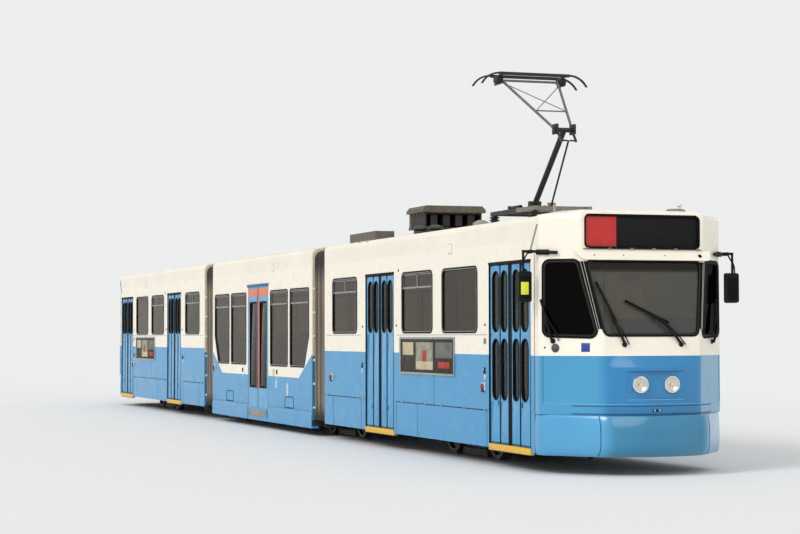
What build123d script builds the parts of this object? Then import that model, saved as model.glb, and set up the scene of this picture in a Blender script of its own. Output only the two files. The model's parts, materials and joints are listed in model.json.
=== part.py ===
from build123d import *
import os
from math import asin, cos, hypot, sin

os.makedirs("parts", exist_ok=True)

# A three-section articulated tram for one driving direction, in millimetres.
# The row frame has its origin on the ground under the middle of the tram, +X towards the
# driver's end, +Y to the tram's left and +Z up. The doors are on the right, the -Y side.

# Driving dimensions of the rails and the wheels
flange_depth = 25
rail = flange_depth
wheel_radius = 340
tyre_width = 110
back_to_back = 1360
axle_radius = 60
axle_half_length = 990
wheelbase = 1800

# Driving dimensions of the body, heights above the rail head
half_width = 1325
wall = 55
skirt_bottom = rail + 240
mid_skirt_bottom = rail + 120
mid_band_top = rail + 390
waist = rail + 1540
sill = rail + 1850
window_top = rail + 2770
mid_sill = rail + 1230
mid_window_top = rail + 2660
door_bottom = rail + 300
door_top = rail + 2785
mid_door_bottom = rail + 360
mid_door_top = rail + 2790
cantrail = rail + 3060
roof_edge = rail + 3380
roof_crown = rail + 3480
roof_skin = 45
roof_radius = 90
high_floor = rail + 880
low_floor = rail + 350
floor_slab = 80

# Driving dimensions along the tram, measured from its middle
pivot_x = 4200
mid_end = 3800
outer_start = 4600
side_end = 14200
chamfer_x = 14360
nose_x = 15000
nose_top_x = 14730
bumper_x = 15320
end_bogie_x = 10600

# Small clearances
seat_gap = 0.3
bearing_gap = 0.5
door_gap = 6

# Window table of an outer section: rear edge, front edge, whether its top part is a hopper
outer_windows = (
    (5090, 6480, True),
    (8820, 10220, True),
    (10660, 12100, False),
)
# Window table of the middle section's half: inner edge, outer edge, whether a corner is cut
mid_windows = (
    (940, 2170, False),
    (2350, 3600, True),
)
# Folding doors of an outer section: name, rear edge, front edge, rows of windows in a leaf
folding_doors = (
    ("inner", 6960, 8410, 1),
    ("end", 12560, 14060, 2),
)
mid_door_half = 780
band_proud = 12
step_box_half = 720
window_radius = 90
mid_window_radius = 55
corner_run = 310
corner_rise = 560
glass_thick = 8
glass_recess = 14
pillar_x = 60
pillar_depth = 120

# Door leaves
leaf_thick = 30
leaf_recess = 13
leaf_post_gap = 12
leaf_pivot = 30
leaf_pin_radius = 9
leaf_guide_back = 25
leaf_window_margin = 70
leaf_top = door_top - 10
leaf_bottom = door_bottom + 6
fold_gap = 3
upper_pane = (rail + 1880, rail + 2610)
lower_pane = (rail + 1000, rail + 1740)

# Steps in the folding doorways
tread_depth = 400
second_tread_depth = 280
tread_thick = 30
first_tread = door_bottom - 6
second_tread = rail + 590
step_edge_height = 95
step_edge_proud = 10

# Front and rear ends: half-widths of the flat end face
face_half_low = 700
face_half_high = 880
face_half_box = 900
bumper_top = rail + 760
bumper_bottom = rail + 225
screen_bottom = rail + 1800
screen_top = rail + 2775
box_bottom = rail + 2915
box_top = rail + 3440
end_wall = 50
corner_radius = 60
face_bow = 130
waist_bow = 50
lamp_panel_top = rail + 1380
nose_floor_half = 620

# Windows, sign, visor, lamp recess and grooves of the ends
screen_margin_low = 35
screen_margin_high = 55
screen_radius = 75
corner_window_near = 75
corner_window_far = 70
corner_window_lean = 300
sign_width = 1660
sign_height = 430
visor_half = 1000
visor_reach = 95
visor_drop = 125
visor_thick = 9
recess_back = nose_x + face_bow - 42
recess_pan = 18
recess_half = 400
recess_low = rail + 962
recess_high = rail + 1325
groove_height = 12
groove_depth = 14
groove_half = 1010
groove_heights = (rail + 770, rail + 872)

# The apron under an end
bumper_bow = 150
bumper_corner = 110
bumper_lid = 40
bumper_seam_y = 776

# Seams between the panels
seam_width = 8
seam_depth = 6
skirt_seam_z = rail + 750
skirt_seams = (5120, 9530)

# Bellows
bellows_inset = 60
bellows_thick = 60

# Bogies
bolster_top = rail + 735
beam_y = 900
beam_width = 90
beam_bottom = rail + 420
beam_top = rail + 530
bogie_half_length = 1180
centre_plate_radius = 200
ring_inner = 215
ring_outer = 330
tongue_half = 265
turntable_radius = 600
turntable_gap = 20

# Pantograph
panto_foot = (11070, rail + 3745)
panto_knee = (12170, rail + 4755)
panto_head_pivot = (10900, rail + 5610)
panto_rod_foot = (11700, rail + 3700)
panto_rod_top = (12330, rail + 4588)
head_half = 860
strip_pitch = 380


def save(part, name):
    """Label a finished piece and write its file."""
    part.label = name
    export_step(part, "parts/" + name + ".step")
    return part


def box_between(low, high):
    """A box from its lowest to its highest corner, added to the part in work."""
    size = [h - l for l, h in zip(low, high)]
    centre = [(h + l) / 2 for l, h in zip(low, high)]
    with Locations(Location(tuple(centre))):
        Box(size[0], size[1], size[2])


def cap_middle(base, radius, rise):
    """The half-way point of a round cap's arc, from its rim at base to its top on the axis."""
    sphere = (radius**2 + rise**2) / (2 * rise)
    half_angle = asin(radius / sphere) / 2
    return base + rise - sphere * (1 - cos(half_angle)), sphere * sin(half_angle)


def cut_between(low, high):
    """A box taken out of the part in work."""
    size = [h - l for l, h in zip(low, high)]
    centre = [(h + l) / 2 for l, h in zip(low, high)]
    with Locations(Location(tuple(centre))):
        Box(size[0], size[1], size[2], mode=Mode.SUBTRACT)


# Side walls


def side_plane(side, inset=0):
    """The plane of a wall's outer face, drawn from the right side, X to the right and Z up."""
    return Plane.XZ.offset(-side * (half_width - inset))


def window_face(x0, x1, z0, z1, radius, cut_corner, shrink=0):
    """A window with rounded corners, or with its outer lower corner cut off on a slant."""
    outward = 1 if x0 + x1 > 0 else -1
    inner = min(abs(x0), abs(x1)) + shrink
    outer = max(abs(x0), abs(x1)) - shrink
    low = z0 + shrink
    high = z1 - shrink
    with BuildSketch() as opening:
        if cut_corner:
            with BuildLine():
                FilletPolyline(
                    (outward * inner, low),
                    (outward * (outer - corner_run), low),
                    (outward * outer, low + corner_rise),
                    (outward * outer, high),
                    (outward * inner, high),
                    radius=radius - shrink,
                    close=True,
                )
            make_face()
        else:
            with Locations((outward * (inner + outer) / 2, (low + high) / 2)):
                RectangleRounded(outer - inner, high - low, radius - shrink)
    return opening.sketch


def outer_wall_cuts(direction, side):
    """The window and door openings of one wall of an outer section."""
    with BuildSketch() as cuts:
        for x0, x1, hopper in outer_windows:
            add(window_face(direction * x0, direction * x1, sill, window_top, window_radius, False))
        for name, x0, x1, rows in folding_doors:
            middle = direction * (x0 + x1) / 2
            if side < 0:
                with Locations((middle, (skirt_bottom - 50 + door_top) / 2)):
                    Rectangle(x1 - x0, door_top - skirt_bottom + 50)
            elif name == "inner":
                add(window_face(direction * x0, direction * x1, sill, window_top, window_radius, False))
    return cuts.sketch


def outer_side_wall(direction, side):
    """One side wall of an outer section with its end pillar beside the bellows."""
    middle = direction * (outer_start + side_end) / 2
    inner_y = side * (half_width - wall)
    with BuildPart() as panel:
        with BuildSketch(side_plane(side)):
            with Locations((middle, (skirt_bottom + cantrail) / 2)):
                Rectangle(side_end - outer_start, cantrail - skirt_bottom)
        extrude(amount=side * wall)
        with BuildSketch(side_plane(side, -1)):
            add(outer_wall_cuts(direction, side))
        extrude(amount=side * (wall + 2), mode=Mode.SUBTRACT)
        pillar_ends = sorted((direction * outer_start, direction * (outer_start + pillar_x)))
        depth_ends = sorted((inner_y, inner_y - side * (pillar_depth - wall)))
        box_between(
            (pillar_ends[0], depth_ends[0], skirt_bottom),
            (pillar_ends[1], depth_ends[1], cantrail),
        )
        add(skirt_grooves(direction, side), mode=Mode.SUBTRACT)
    return panel.part


def outer_side_walls(direction, name):
    with BuildPart() as walls:
        for side in (-1, 1):
            add(outer_side_wall(direction, side))
    return save(walls.part, name)


def skirt_grooves(direction, side):
    """The seams of an outer section's hinged skirt flaps, as one set of shallow cuts."""
    y0, y1 = sorted((side * (half_width - seam_depth), side * (half_width + 5)))
    ends = [outer_start]
    if side < 0:
        for name, x0, x1, rows in folding_doors:
            ends += [x0 - 20, x1 + 20]
    ends.append(side_end)
    with BuildPart() as cuts:
        for start, stop in zip(ends[0::2], ends[1::2]):
            run = sorted((direction * start, direction * stop))
            if stop - start > 200:
                box_between((run[0], y0, skirt_seam_z), (run[1], y1, skirt_seam_z + seam_width))
        for x in skirt_seams:
            box_between(
                (direction * x - seam_width / 2, y0, skirt_bottom - 5),
                (direction * x + seam_width / 2, y1, skirt_seam_z + 1),
            )
    return cuts.part


def mid_band(side):
    """The bulged lower band of the middle section and the step box under its door."""
    inner = half_width - 5
    outer = half_width + band_proud
    with BuildPart() as band:
        for direction in (-1, 1):
            if side > 0 and direction > 0:
                continue
            start = mid_door_half + 20 if side < 0 else -mid_end
            run = sorted((direction * start, direction * mid_end))
            with BuildSketch(Plane.YZ.offset(run[0])):
                with BuildLine():
                    Polyline(
                        (side * inner, mid_skirt_bottom),
                        (side * (outer - 6), mid_skirt_bottom),
                        (side * outer, mid_skirt_bottom + 30),
                        (side * outer, mid_band_top - 25),
                        (side * inner, mid_band_top),
                        close=True,
                    )
                make_face()
            extrude(amount=run[1] - run[0])
        if side < 0:
            box_between(
                (-step_box_half, -half_width - band_proud, mid_skirt_bottom + 55),
                (step_box_half, -inner, mid_door_bottom - 15),
            )
    return band.part


def mid_side_wall(side):
    """One side wall of the middle section, with a pillar at each end and a lower band."""
    inner_y = side * (half_width - wall)
    with BuildPart() as panel:
        with BuildSketch(side_plane(side)):
            with Locations((0, (mid_skirt_bottom + cantrail) / 2)):
                Rectangle(2 * mid_end, cantrail - mid_skirt_bottom)
        extrude(amount=side * wall)
        with BuildSketch(side_plane(side, -1)):
            for direction in (-1, 1):
                for x0, x1, cut_corner in mid_windows:
                    add(
                        window_face(
                            direction * x0, direction * x1, mid_sill, mid_window_top,
                            mid_window_radius, cut_corner,
                        )
                    )
            if side < 0:
                with Locations((0, (mid_door_bottom + mid_door_top) / 2)):
                    Rectangle(2 * mid_door_half, mid_door_top - mid_door_bottom)
        extrude(amount=side * (wall + 2), mode=Mode.SUBTRACT)
        depth_ends = sorted((inner_y, inner_y - side * (pillar_depth - wall)))
        for direction in (-1, 1):
            pillar_ends = sorted((direction * mid_end, direction * (mid_end - pillar_x)))
            box_between(
                (pillar_ends[0], depth_ends[0], mid_skirt_bottom),
                (pillar_ends[1], depth_ends[1], cantrail),
            )
        add(mid_band(side))
    return panel.part


with BuildPart() as mid_sides:
    for side in (-1, 1):
        add(mid_side_wall(side))
save(mid_sides.part, "mid_sides")

outer_side_walls(1, "front_sides")
outer_side_walls(-1, "rear_sides")


# Roofs


def arch_face(inset, foot):
    """The roof's arch above the height foot: straight sides, rounded shoulders, a low crown."""
    side_y = half_width - inset
    edge = roof_edge - inset
    crown = roof_crown - inset
    shoulder = roof_radius
    with BuildSketch() as arch:
        with BuildLine():
            Line((-side_y, foot), (-side_y, edge - shoulder))
            RadiusArc((-side_y, edge - shoulder), (-side_y + shoulder, edge), shoulder)
            ThreePointArc((-side_y + shoulder, edge), (0, crown), (side_y - shoulder, edge))
            RadiusArc((side_y - shoulder, edge), (side_y, edge - shoulder), shoulder)
            Line((side_y, edge - shoulder), (side_y, foot))
            Line((side_y, foot), (-side_y, foot))
        make_face()
    return arch.sketch


def roof(x0, x1, ribs, name):
    """A roof shell from x0 to x1, with an end rib that the bellows is fixed to."""
    with BuildPart() as shell:
        with BuildSketch(Plane.YZ.offset(x0)):
            add(arch_face(0, cantrail))
        extrude(amount=x1 - x0)
        open_from = x0 + (pillar_x if "low" in ribs else -1)
        open_to = x1 - (pillar_x if "high" in ribs else -1)
        with BuildSketch(Plane.YZ.offset(open_from)):
            add(arch_face(roof_skin, cantrail))
        extrude(amount=open_to - open_from, mode=Mode.SUBTRACT)
        with BuildSketch(Plane.YZ.offset(x0 - 1)):
            add(arch_face(pillar_depth, cantrail))
        extrude(amount=x1 - x0 + 2, mode=Mode.SUBTRACT)
    return save(shell.part, name)


roof(-mid_end, mid_end, ("low", "high"), "mid_roof")
roof(outer_start, side_end, ("low",), "front_roof")
roof(-side_end, -outer_start, ("high",), "rear_roof")


# Floors


# The battery and converter case that hangs under an outer section, on its left side
case_span = (6700, 8700)
case_inset = 190
case_width = 960
case_bottom = rail + 330


def stair_points():
    """The outline of a doorway's stairs across the tram: points of y and z."""
    y0 = -(half_width - wall - bearing_gap)
    y1 = y0 + tread_depth
    y2 = y1 + second_tread_depth
    t = tread_thick
    return (
        (y0, first_tread),
        (y1, first_tread),
        (y1, second_tread),
        (y2, second_tread),
        (y2, high_floor),
        (y2 + t, high_floor),
        (y2 + t, second_tread - t),
        (y1 + t, second_tread - t),
        (y1 + t, first_tread - t),
        (y0, first_tread - t),
    )


def outer_floor(direction, name):
    """The high floor of an outer section: slab, stairs, step edges and centre plates."""
    start = outer_start + pillar_x + 5
    inner_y = half_width - wall - bearing_gap
    nose_inner = nose_x - end_wall - 30
    slab_bottom = high_floor - floor_slab
    with BuildPart() as deck:
        with BuildSketch(Plane.XY.offset(slab_bottom)):
            with BuildLine():
                Polyline(
                    (direction * start, -inner_y),
                    (direction * (chamfer_x - 40), -inner_y),
                    (direction * nose_inner, -nose_floor_half),
                    (direction * nose_inner, nose_floor_half),
                    (direction * (chamfer_x - 40), inner_y),
                    (direction * start, inner_y),
                    close=True,
                )
            make_face()
            with Locations((direction * pivot_x, 0)):
                Circle(turntable_radius + turntable_gap, mode=Mode.SUBTRACT)
        extrude(amount=floor_slab)
        for door, x0, x1, rows in folding_doors:
            well = sorted((direction * (x0 - 40), direction * (x1 + 40)))
            stair_depth = tread_depth + second_tread_depth
            cut_between(
                (well[0], -inner_y - 5, slab_bottom - 5),
                (well[1], -inner_y + stair_depth, high_floor + 5),
            )
            with BuildSketch(Plane.YZ.offset(well[0])):
                with BuildLine():
                    Polyline(*stair_points(), close=True)
                make_face()
            extrude(amount=well[1] - well[0])
            for cheek_x in (well[0], well[1] - 20):
                box_between(
                    (cheek_x, -inner_y, first_tread - tread_thick),
                    (cheek_x + 20, -inner_y + stair_depth, slab_bottom + 5),
                )
            edge = sorted((direction * (x0 + 8), direction * (x1 - 8)))
            box_between(
                (edge[0], -half_width - step_edge_proud, first_tread - step_edge_height),
                (edge[1], -inner_y + 1, first_tread),
            )
        with Locations((direction * end_bogie_x, 0, (bolster_top + bearing_gap + slab_bottom) / 2)):
            Cylinder(centre_plate_radius, slab_bottom - bolster_top - bearing_gap)
        ring_top = slab_bottom - bearing_gap
        ring_bottom = ring_top - 45
        with BuildSketch(Plane.XY.offset(ring_bottom)):
            with Locations((direction * pivot_x, 0)):
                Circle(ring_outer)
            tongue = start + 300 - pivot_x
            with Locations((direction * (pivot_x + tongue / 2 + 100), 0)):
                Rectangle(tongue, 2 * tongue_half)
            with Locations((direction * pivot_x, 0)):
                Circle(ring_inner, mode=Mode.SUBTRACT)
        extrude(amount=ring_top - ring_bottom)
        heel = sorted((direction * (pivot_x + turntable_radius + 30), direction * (start + 300)))
        box_between(
            (heel[0], -tongue_half, ring_bottom),
            (heel[1], tongue_half, slab_bottom + 1),
        )
        case = sorted((direction * case_span[0], direction * case_span[1]))
        case_outer = inner_y - case_inset
        box_between((case[0], case_outer - case_width, case_bottom), (case[1], case_outer, slab_bottom + 1))
    return save(deck.part, name)


outer_floor(1, "front_floor")
outer_floor(-1, "rear_floor")

mid_step_x = 2350
mid_rise_x = 2650
with BuildPart() as mid_floor:
    mid_inner_y = half_width - wall - bearing_gap
    slab_bottom = high_floor - floor_slab
    mid_step = (low_floor + high_floor) / 2
    mid_start = mid_end - pillar_x - 5
    with BuildSketch(Plane.XZ.offset(-mid_inner_y)):
        with BuildLine():
            Polyline(
                (-mid_start, high_floor),
                (-mid_rise_x, high_floor),
                (-mid_rise_x, mid_step),
                (-mid_step_x, mid_step),
                (-mid_step_x, low_floor),
                (mid_step_x, low_floor),
                (mid_step_x, mid_step),
                (mid_rise_x, mid_step),
                (mid_rise_x, high_floor),
                (mid_start, high_floor),
                (mid_start, slab_bottom),
                (mid_rise_x + floor_slab, slab_bottom),
                (mid_rise_x + floor_slab, mid_step - floor_slab),
                (mid_step_x + floor_slab, mid_step - floor_slab),
                (mid_step_x + floor_slab, low_floor - floor_slab),
                (-mid_step_x - floor_slab, low_floor - floor_slab),
                (-mid_step_x - floor_slab, mid_step - floor_slab),
                (-mid_rise_x - floor_slab, mid_step - floor_slab),
                (-mid_rise_x - floor_slab, slab_bottom),
                (-mid_start, slab_bottom),
                close=True,
            )
        make_face()
    extrude(amount=2 * mid_inner_y)
    for direction in (-1, 1):
        bridge = sorted((direction * (mid_start - 5), direction * pivot_x))
        box_between((bridge[0], -420, slab_bottom), (bridge[1], 420, high_floor))
        with Locations((direction * pivot_x, 0, (slab_bottom + high_floor) / 2)):
            Cylinder(turntable_radius, floor_slab)
        with Locations((direction * pivot_x, 0, (bolster_top + bearing_gap + slab_bottom) / 2)):
            Cylinder(centre_plate_radius, slab_bottom - bolster_top - bearing_gap)
save(mid_floor.part, "mid_floor")


# Front and rear ends


def end_corner(front_x, face_half, side_half, inset):
    """Where an end's chamfer meets its face and its side, all moved inwards by an inset."""
    run = front_x - chamfer_x
    rise = side_half - face_half
    slant = hypot(run, rise)
    to_face = inset * (1 - rise / slant) / run
    face_y = face_half + rise * to_face - inset * run / slant
    to_side = (rise - inset + inset * run / slant) / rise
    side_x = front_x - run * to_side - inset * rise / slant
    return face_y, side_x


def end_outline(z, front_x, face_half, side_half, back_x, bow, inset, corner=corner_radius):
    """The outline of an end at height z: sides, rounded chamfers and a straight or bowed face."""
    face_y, side_x = end_corner(front_x, face_half, side_half, inset)
    face_x = front_x - inset
    side_y = side_half - inset
    with BuildSketch(Plane.XY.offset(z)) as outline:
        with BuildLine():
            Polyline(
                (face_x, -face_y),
                (side_x, -side_y),
                (back_x, -side_y),
                (back_x, side_y),
                (side_x, side_y),
                (face_x, face_y),
            )
            if bow:
                ThreePointArc((face_x, -face_y), (face_x + bow, 0), (face_x, face_y))
            else:
                Line((face_x, face_y), (face_x, -face_y))
        make_face()
        bends = outline.vertices().filter_by_position(Axis.X, back_x + 5, bumper_x * 2)
        fillet(bends, radius=corner - inset)
    return outline.sketch


# Levels of an end: height, the face's x, half-width of the face, of the sides, the face's bow
end_levels = (
    (bumper_top + bearing_gap, nose_x, face_half_low, half_width, face_bow),
    (lamp_panel_top, nose_x, face_half_low, half_width, face_bow),
    (waist, nose_x, face_half_low, half_width, waist_bow),
    (screen_bottom - 60, nose_x, face_half_low, half_width, 0),
    (box_bottom, nose_top_x, face_half_high, half_width, 0),
    (roof_edge - 45, nose_top_x, face_half_box, half_width, 0),
    (roof_edge + 10, nose_top_x - 8, face_half_box - 10, half_width - 50, 0),
    (box_top, nose_top_x - 40, face_half_box - 60, half_width - 330, 0),
)
inner_levels = 6


def end_solid(inset, back_x):
    """The end's outer form, or with an inset the form of its inside or of a pane's face."""
    levels = list(end_levels)
    if inset:
        low, x, face_half, side_half, bow = levels[0]
        levels[0] = (low - 10, x, face_half, side_half, bow)
        levels = levels[:inner_levels]
    outlines = []
    for z, face_x, face_half, side_half, bow in levels:
        outlines.append(end_outline(z, face_x, face_half, side_half, back_x, bow, inset))
    with BuildPart() as form:
        loft(outlines, ruled=True)
    return form.part


# Panes of an end, drawn on their own planes: the screen and the corner windows
def screen_cutter(shrink):
    low = screen_bottom + shrink
    high = screen_top - shrink
    low_half = face_half_low - screen_margin_low - shrink
    high_half = face_half_high - screen_margin_high - shrink
    with BuildPart() as cutter:
        with BuildSketch(Plane.YZ.offset(nose_top_x - 250)):
            with BuildLine():
                FilletPolyline(
                    (-low_half, low),
                    (low_half, low),
                    (high_half, high),
                    (-high_half, high),
                    radius=screen_radius - shrink,
                    close=True,
                )
            make_face()
        extrude(amount=900)
    return cutter.part


def corner_cutter(side, shrink):
    """A corner window's form, cut square to the chamfer."""
    run = hypot(nose_x - chamfer_x, half_width - face_half_low)
    along = Vector((chamfer_x - nose_x) / run, side * (half_width - face_half_low) / run, 0)
    out = Vector(-side * along.Y, side * along.X, 0) * (-1)
    base = Plane(origin=(nose_x, side * face_half_low, 0), x_dir=along, z_dir=out)
    up = 1 if base.y_dir.Z > 0 else -1
    near = corner_window_near
    far = run - corner_window_far
    with BuildPart() as cutter:
        with BuildSketch(base.offset(-400)):
            with BuildLine():
                FilletPolyline(
                    (near + shrink, up * (screen_bottom - 20 + shrink)),
                    (far - shrink, up * (screen_bottom + shrink)),
                    (far - shrink, up * (screen_top - 10 - shrink)),
                    (near + corner_window_lean + shrink, up * (screen_top - 10 - shrink)),
                    radius=screen_radius - shrink,
                    close=True,
                )
            make_face()
        extrude(amount=800)
    return cutter.part


def sign_face(shrink):
    """The sign window over the screen, drawn on a plane across the tram."""
    with BuildSketch(Plane.YZ.offset(nose_top_x - 30 + shrink)) as opening:
        with Locations((0, (box_bottom + box_top) / 2 - 5)):
            RectangleRounded(sign_width - 2 * shrink, sign_height - 2 * shrink, 60 - shrink)
    return opening.sketch


def front_groove(z):
    """A groove across the face and part of the chamfers, seen from outside as a dark line."""
    shape = (nose_x, face_half_low, half_width, nose_x - 700, face_bow)
    with BuildPart() as ring:
        extrude(end_outline(z, *shape, -20), amount=groove_height)
        extrude(end_outline(z, *shape, groove_depth), amount=groove_height, mode=Mode.SUBTRACT)
        for side in (-1, 1):
            y0, y1 = sorted((side * groove_half, side * (half_width + 100)))
            cut_between((nose_x - 800, y0, z - 5), (bumper_x, y1, z + groove_height + 5))
    return ring.part


def end_shell():
    """The hollow end with its openings, at the driver's end; the other end is a turned one."""
    with BuildPart() as shell:
        add(end_solid(0, side_end))
        add(end_solid(end_wall, side_end - end_wall), mode=Mode.SUBTRACT)
        add(screen_cutter(0), mode=Mode.SUBTRACT)
        for side in (-1, 1):
            add(corner_cutter(side, 0), mode=Mode.SUBTRACT)
        extrude(sign_face(0), amount=60, mode=Mode.SUBTRACT)
        cut_between((recess_back, -recess_half, recess_low), (nose_x + 300, recess_half, recess_high))
        box_between(
            (recess_back - recess_pan, -recess_half - 20, recess_low - 20),
            (recess_back, recess_half + 20, recess_high + 20),
        )
        for z in groove_heights:
            add(front_groove(z), mode=Mode.SUBTRACT)
    return shell.part


with BuildPart() as nose:
    add(end_shell())
    # The sun visor: a slanted sheet under the sign box with free, rounded ends
    visor_run = hypot(visor_reach, visor_drop)
    visor_plane = Plane(
        origin=(nose_top_x - 4, 0, box_bottom - 6),
        x_dir=(0, 1, 0),
        z_dir=(visor_drop, 0, visor_reach),
    )
    with BuildSketch(visor_plane):
        with BuildLine():
            FilletPolyline(
                (-visor_half, 6),
                (visor_half, 6),
                (visor_half - 60, -visor_run),
                (-visor_half + 110, -visor_run),
                radius=(3, 30, 55, 55),
                close=True,
            )
        make_face()
    extrude(amount=-visor_thick)
    box_between(
        (nose_top_x - 20, -face_half_high + 60, box_bottom - 22),
        (nose_top_x + 6, face_half_high - 60, box_bottom - 4),
    )
save(nose.part, "nose")

with BuildPart() as tail:
    add(end_shell().rotate(Axis.Z, 180))
save(tail.part, "tail")


def bumper_outlines(inset, top):
    """The apron's outlines from its foot to its top edge, bulged in the middle."""
    levels = (
        (bumper_bottom, 80),
        (bumper_bottom + 75, 22),
        (bumper_bottom + 200, 0),
        (bumper_bottom + 360, 4),
        (top, 40),
    )
    outlines = []
    for z, pull in levels:
        face_x = bumper_x - bumper_bow - pull
        face_half = face_half_low + 20 - pull / 2
        side_half = half_width - pull / 4
        back_x = side_end + 5 - (20 if inset else 0)
        low = z - (5 if inset and z == bumper_bottom else 0)
        outlines.append(
            end_outline(low, face_x, face_half, side_half, back_x, bumper_bow, inset, bumper_corner)
        )
    return outlines


def bumper(turn, name):
    """The apron below an end: bowed in plan, bulged in section, closed on top, open below."""
    with BuildPart() as slots:
        for side in (-1, 1):
            y0, y1 = sorted((side * bumper_seam_y, side * (bumper_seam_y + seam_width)))
            box_between((nose_x - 100, y0, bumper_bottom - 1), (bumper_x, y1, bumper_top - 20))
    with BuildPart() as seams:
        loft(bumper_outlines(0, bumper_top), ruled=True)
        loft(bumper_outlines(seam_depth, bumper_top + 5), ruled=True, mode=Mode.SUBTRACT)
        add(slots.part, mode=Mode.INTERSECT)
    with BuildPart() as apron:
        loft(bumper_outlines(0, bumper_top), ruled=True)
        loft(bumper_outlines(end_wall, bumper_top - bumper_lid), ruled=True, mode=Mode.SUBTRACT)
        add(seams.part, mode=Mode.SUBTRACT)
    return save(apron.part.rotate(Axis.Z, turn), name)


bumper(0, "front_bumper")
bumper(180, "rear_bumper")


# Glass


def side_panes(direction, table, z0, z1, radius, side):
    """The panes of one wall, each with a small seat gap in its opening."""
    with BuildPart() as panes:
        with BuildSketch(side_plane(side, glass_recess)):
            for x0, x1, cut_corner in table:
                add(
                    window_face(
                        direction * x0, direction * x1, z0, z1, radius, cut_corner, shrink=seat_gap
                    )
                )
        extrude(amount=side * glass_thick)
    return panes.part


def end_panes():
    """The screen, the corner panes and the destination pane of an end."""
    with BuildPart() as sheet:
        add(end_solid(glass_recess, side_end - 150))
        add(end_solid(glass_recess + glass_thick, side_end - 200), mode=Mode.SUBTRACT)
    with BuildPart() as panes:
        cutters = [screen_cutter(seat_gap)]
        cutters += [corner_cutter(side, seat_gap) for side in (-1, 1)]
        for cutter in cutters:
            add(sheet.part & cutter)
        extrude(sign_face(seat_gap), amount=glass_thick)
    return panes.part


def outer_glass(direction, turn, name):
    with BuildPart() as glass:
        for side in (-1, 1):
            table = [(x0, x1, False) for x0, x1, hopper in outer_windows]
            if side > 0:
                table += [(x0, x1, False) for door, x0, x1, rows in folding_doors if door == "inner"]
            add(side_panes(direction, table, sill, window_top, window_radius, side))
        add(end_panes().rotate(Axis.Z, turn))
    return save(glass.part, name)


outer_glass(1, 0, "front_glass")
outer_glass(-1, 180, "rear_glass")

with BuildPart() as mid_glass:
    for side in (-1, 1):
        for direction in (-1, 1):
            add(
                side_panes(
                    direction, mid_windows, mid_sill, mid_window_top, mid_window_radius, side
                )
            )
save(mid_glass.part, "mid_glass")


# Folding doors


def leaf(x0, x1, rows, pins, name):
    """One door leaf from x0 to x1 with its oblong panes and its pins, each of x, foot and top."""
    left, right = sorted((x0, x1))
    width = right - left
    pane_width = width - 2 * leaf_window_margin
    leaf_plane = Plane.XZ.offset(half_width - leaf_recess)
    pane_plane = Plane.XZ.offset(half_width - leaf_recess - (leaf_thick - glass_thick) / 2)
    spans = (upper_pane, lower_pane)[:rows]
    middle = (left + right) / 2
    with BuildPart() as panel:
        with BuildSketch(leaf_plane):
            with Locations((middle, (leaf_bottom + leaf_top) / 2)):
                Rectangle(width, leaf_top - leaf_bottom)
            for z0, z1 in spans:
                with Locations((middle, (z0 + z1) / 2)):
                    SlotOverall(z1 - z0, pane_width, rotation=90, mode=Mode.SUBTRACT)
        extrude(amount=-leaf_thick)
        for pin_x, foot, top in pins:
            with Locations((pin_x, -(half_width - leaf_recess - leaf_thick / 2), (foot + top) / 2)):
                Cylinder(leaf_pin_radius, top - foot)
        with BuildSketch(pane_plane):
            for z0, z1 in spans:
                with Locations((middle, (z0 + z1) / 2)):
                    SlotOverall(z1 - z0 - 2 * seat_gap, pane_width - 2 * seat_gap, rotation=90)
        extrude(amount=-glass_thick)
    return save(panel.part, name)


def folding_door(section, direction, door, x0, x1, rows):
    """Two pairs of leaves: each pair hangs on its post and folds in the middle."""
    half = (x1 - x0) / 2
    fold = (half - door_gap + leaf_pivot) / 2
    for post, inward, pair in ((x0, 1, "a"), (x1, -1, "b")):
        stem = section + "_" + door + "_door_" + pair
        outer_edges = (post + inward * leaf_post_gap, post + inward * (fold - fold_gap))
        inner_edges = (post + inward * (fold + fold_gap), post + inward * (half - door_gap))
        pivot_at = direction * (post + inward * leaf_pivot)
        fold_at = direction * (post + inward * fold)
        guide_at = direction * (inner_edges[1] - inward * leaf_guide_back)
        post_pins = (
            (pivot_at, first_tread + seat_gap, leaf_bottom + 1),
            (pivot_at, leaf_top - 1, door_top - seat_gap),
        )
        guide_pins = ((guide_at, leaf_top - 1, door_top - seat_gap),)
        leaf(direction * outer_edges[0], direction * outer_edges[1], rows, post_pins, stem + "_post_leaf")
        leaf(direction * inner_edges[0], direction * inner_edges[1], rows, guide_pins, stem + "_free_leaf")
        print(stem, "post hinge x", pivot_at, "fold hinge x", fold_at)


for section, direction in (("front", 1), ("rear", -1)):
    for door, x0, x1, rows in folding_doors:
        shown_rows = rows if section == "front" else 1
        folding_door(section, direction, door, x0, x1, shown_rows)

# The middle door's two leaves, which slide out and along in turn
with BuildPart() as mid_door:
    leaf_outer = half_width - 2
    for direction in (-1, 1):
        centre_x = direction * mid_door_half / 2
        with BuildSketch(Plane.XZ.offset(leaf_outer)):
            with Locations((centre_x, (mid_door_bottom + mid_door_top) / 2)):
                Rectangle(
                    mid_door_half - 2 * bearing_gap, mid_door_top - mid_door_bottom - 2 * bearing_gap
                )
            with Locations((centre_x, rail + 1600)):
                Rectangle(mid_door_half - 260, 1700, mode=Mode.SUBTRACT)
        extrude(amount=-40)
        with BuildSketch(Plane.XZ.offset(leaf_outer - 10)):
            with Locations((centre_x, rail + 1600)):
                Rectangle(mid_door_half - 260 - 2 * seat_gap, 1700 - 2 * seat_gap)
        extrude(amount=-glass_thick)
save(mid_door.part, "mid_door")


# Bellows


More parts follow.
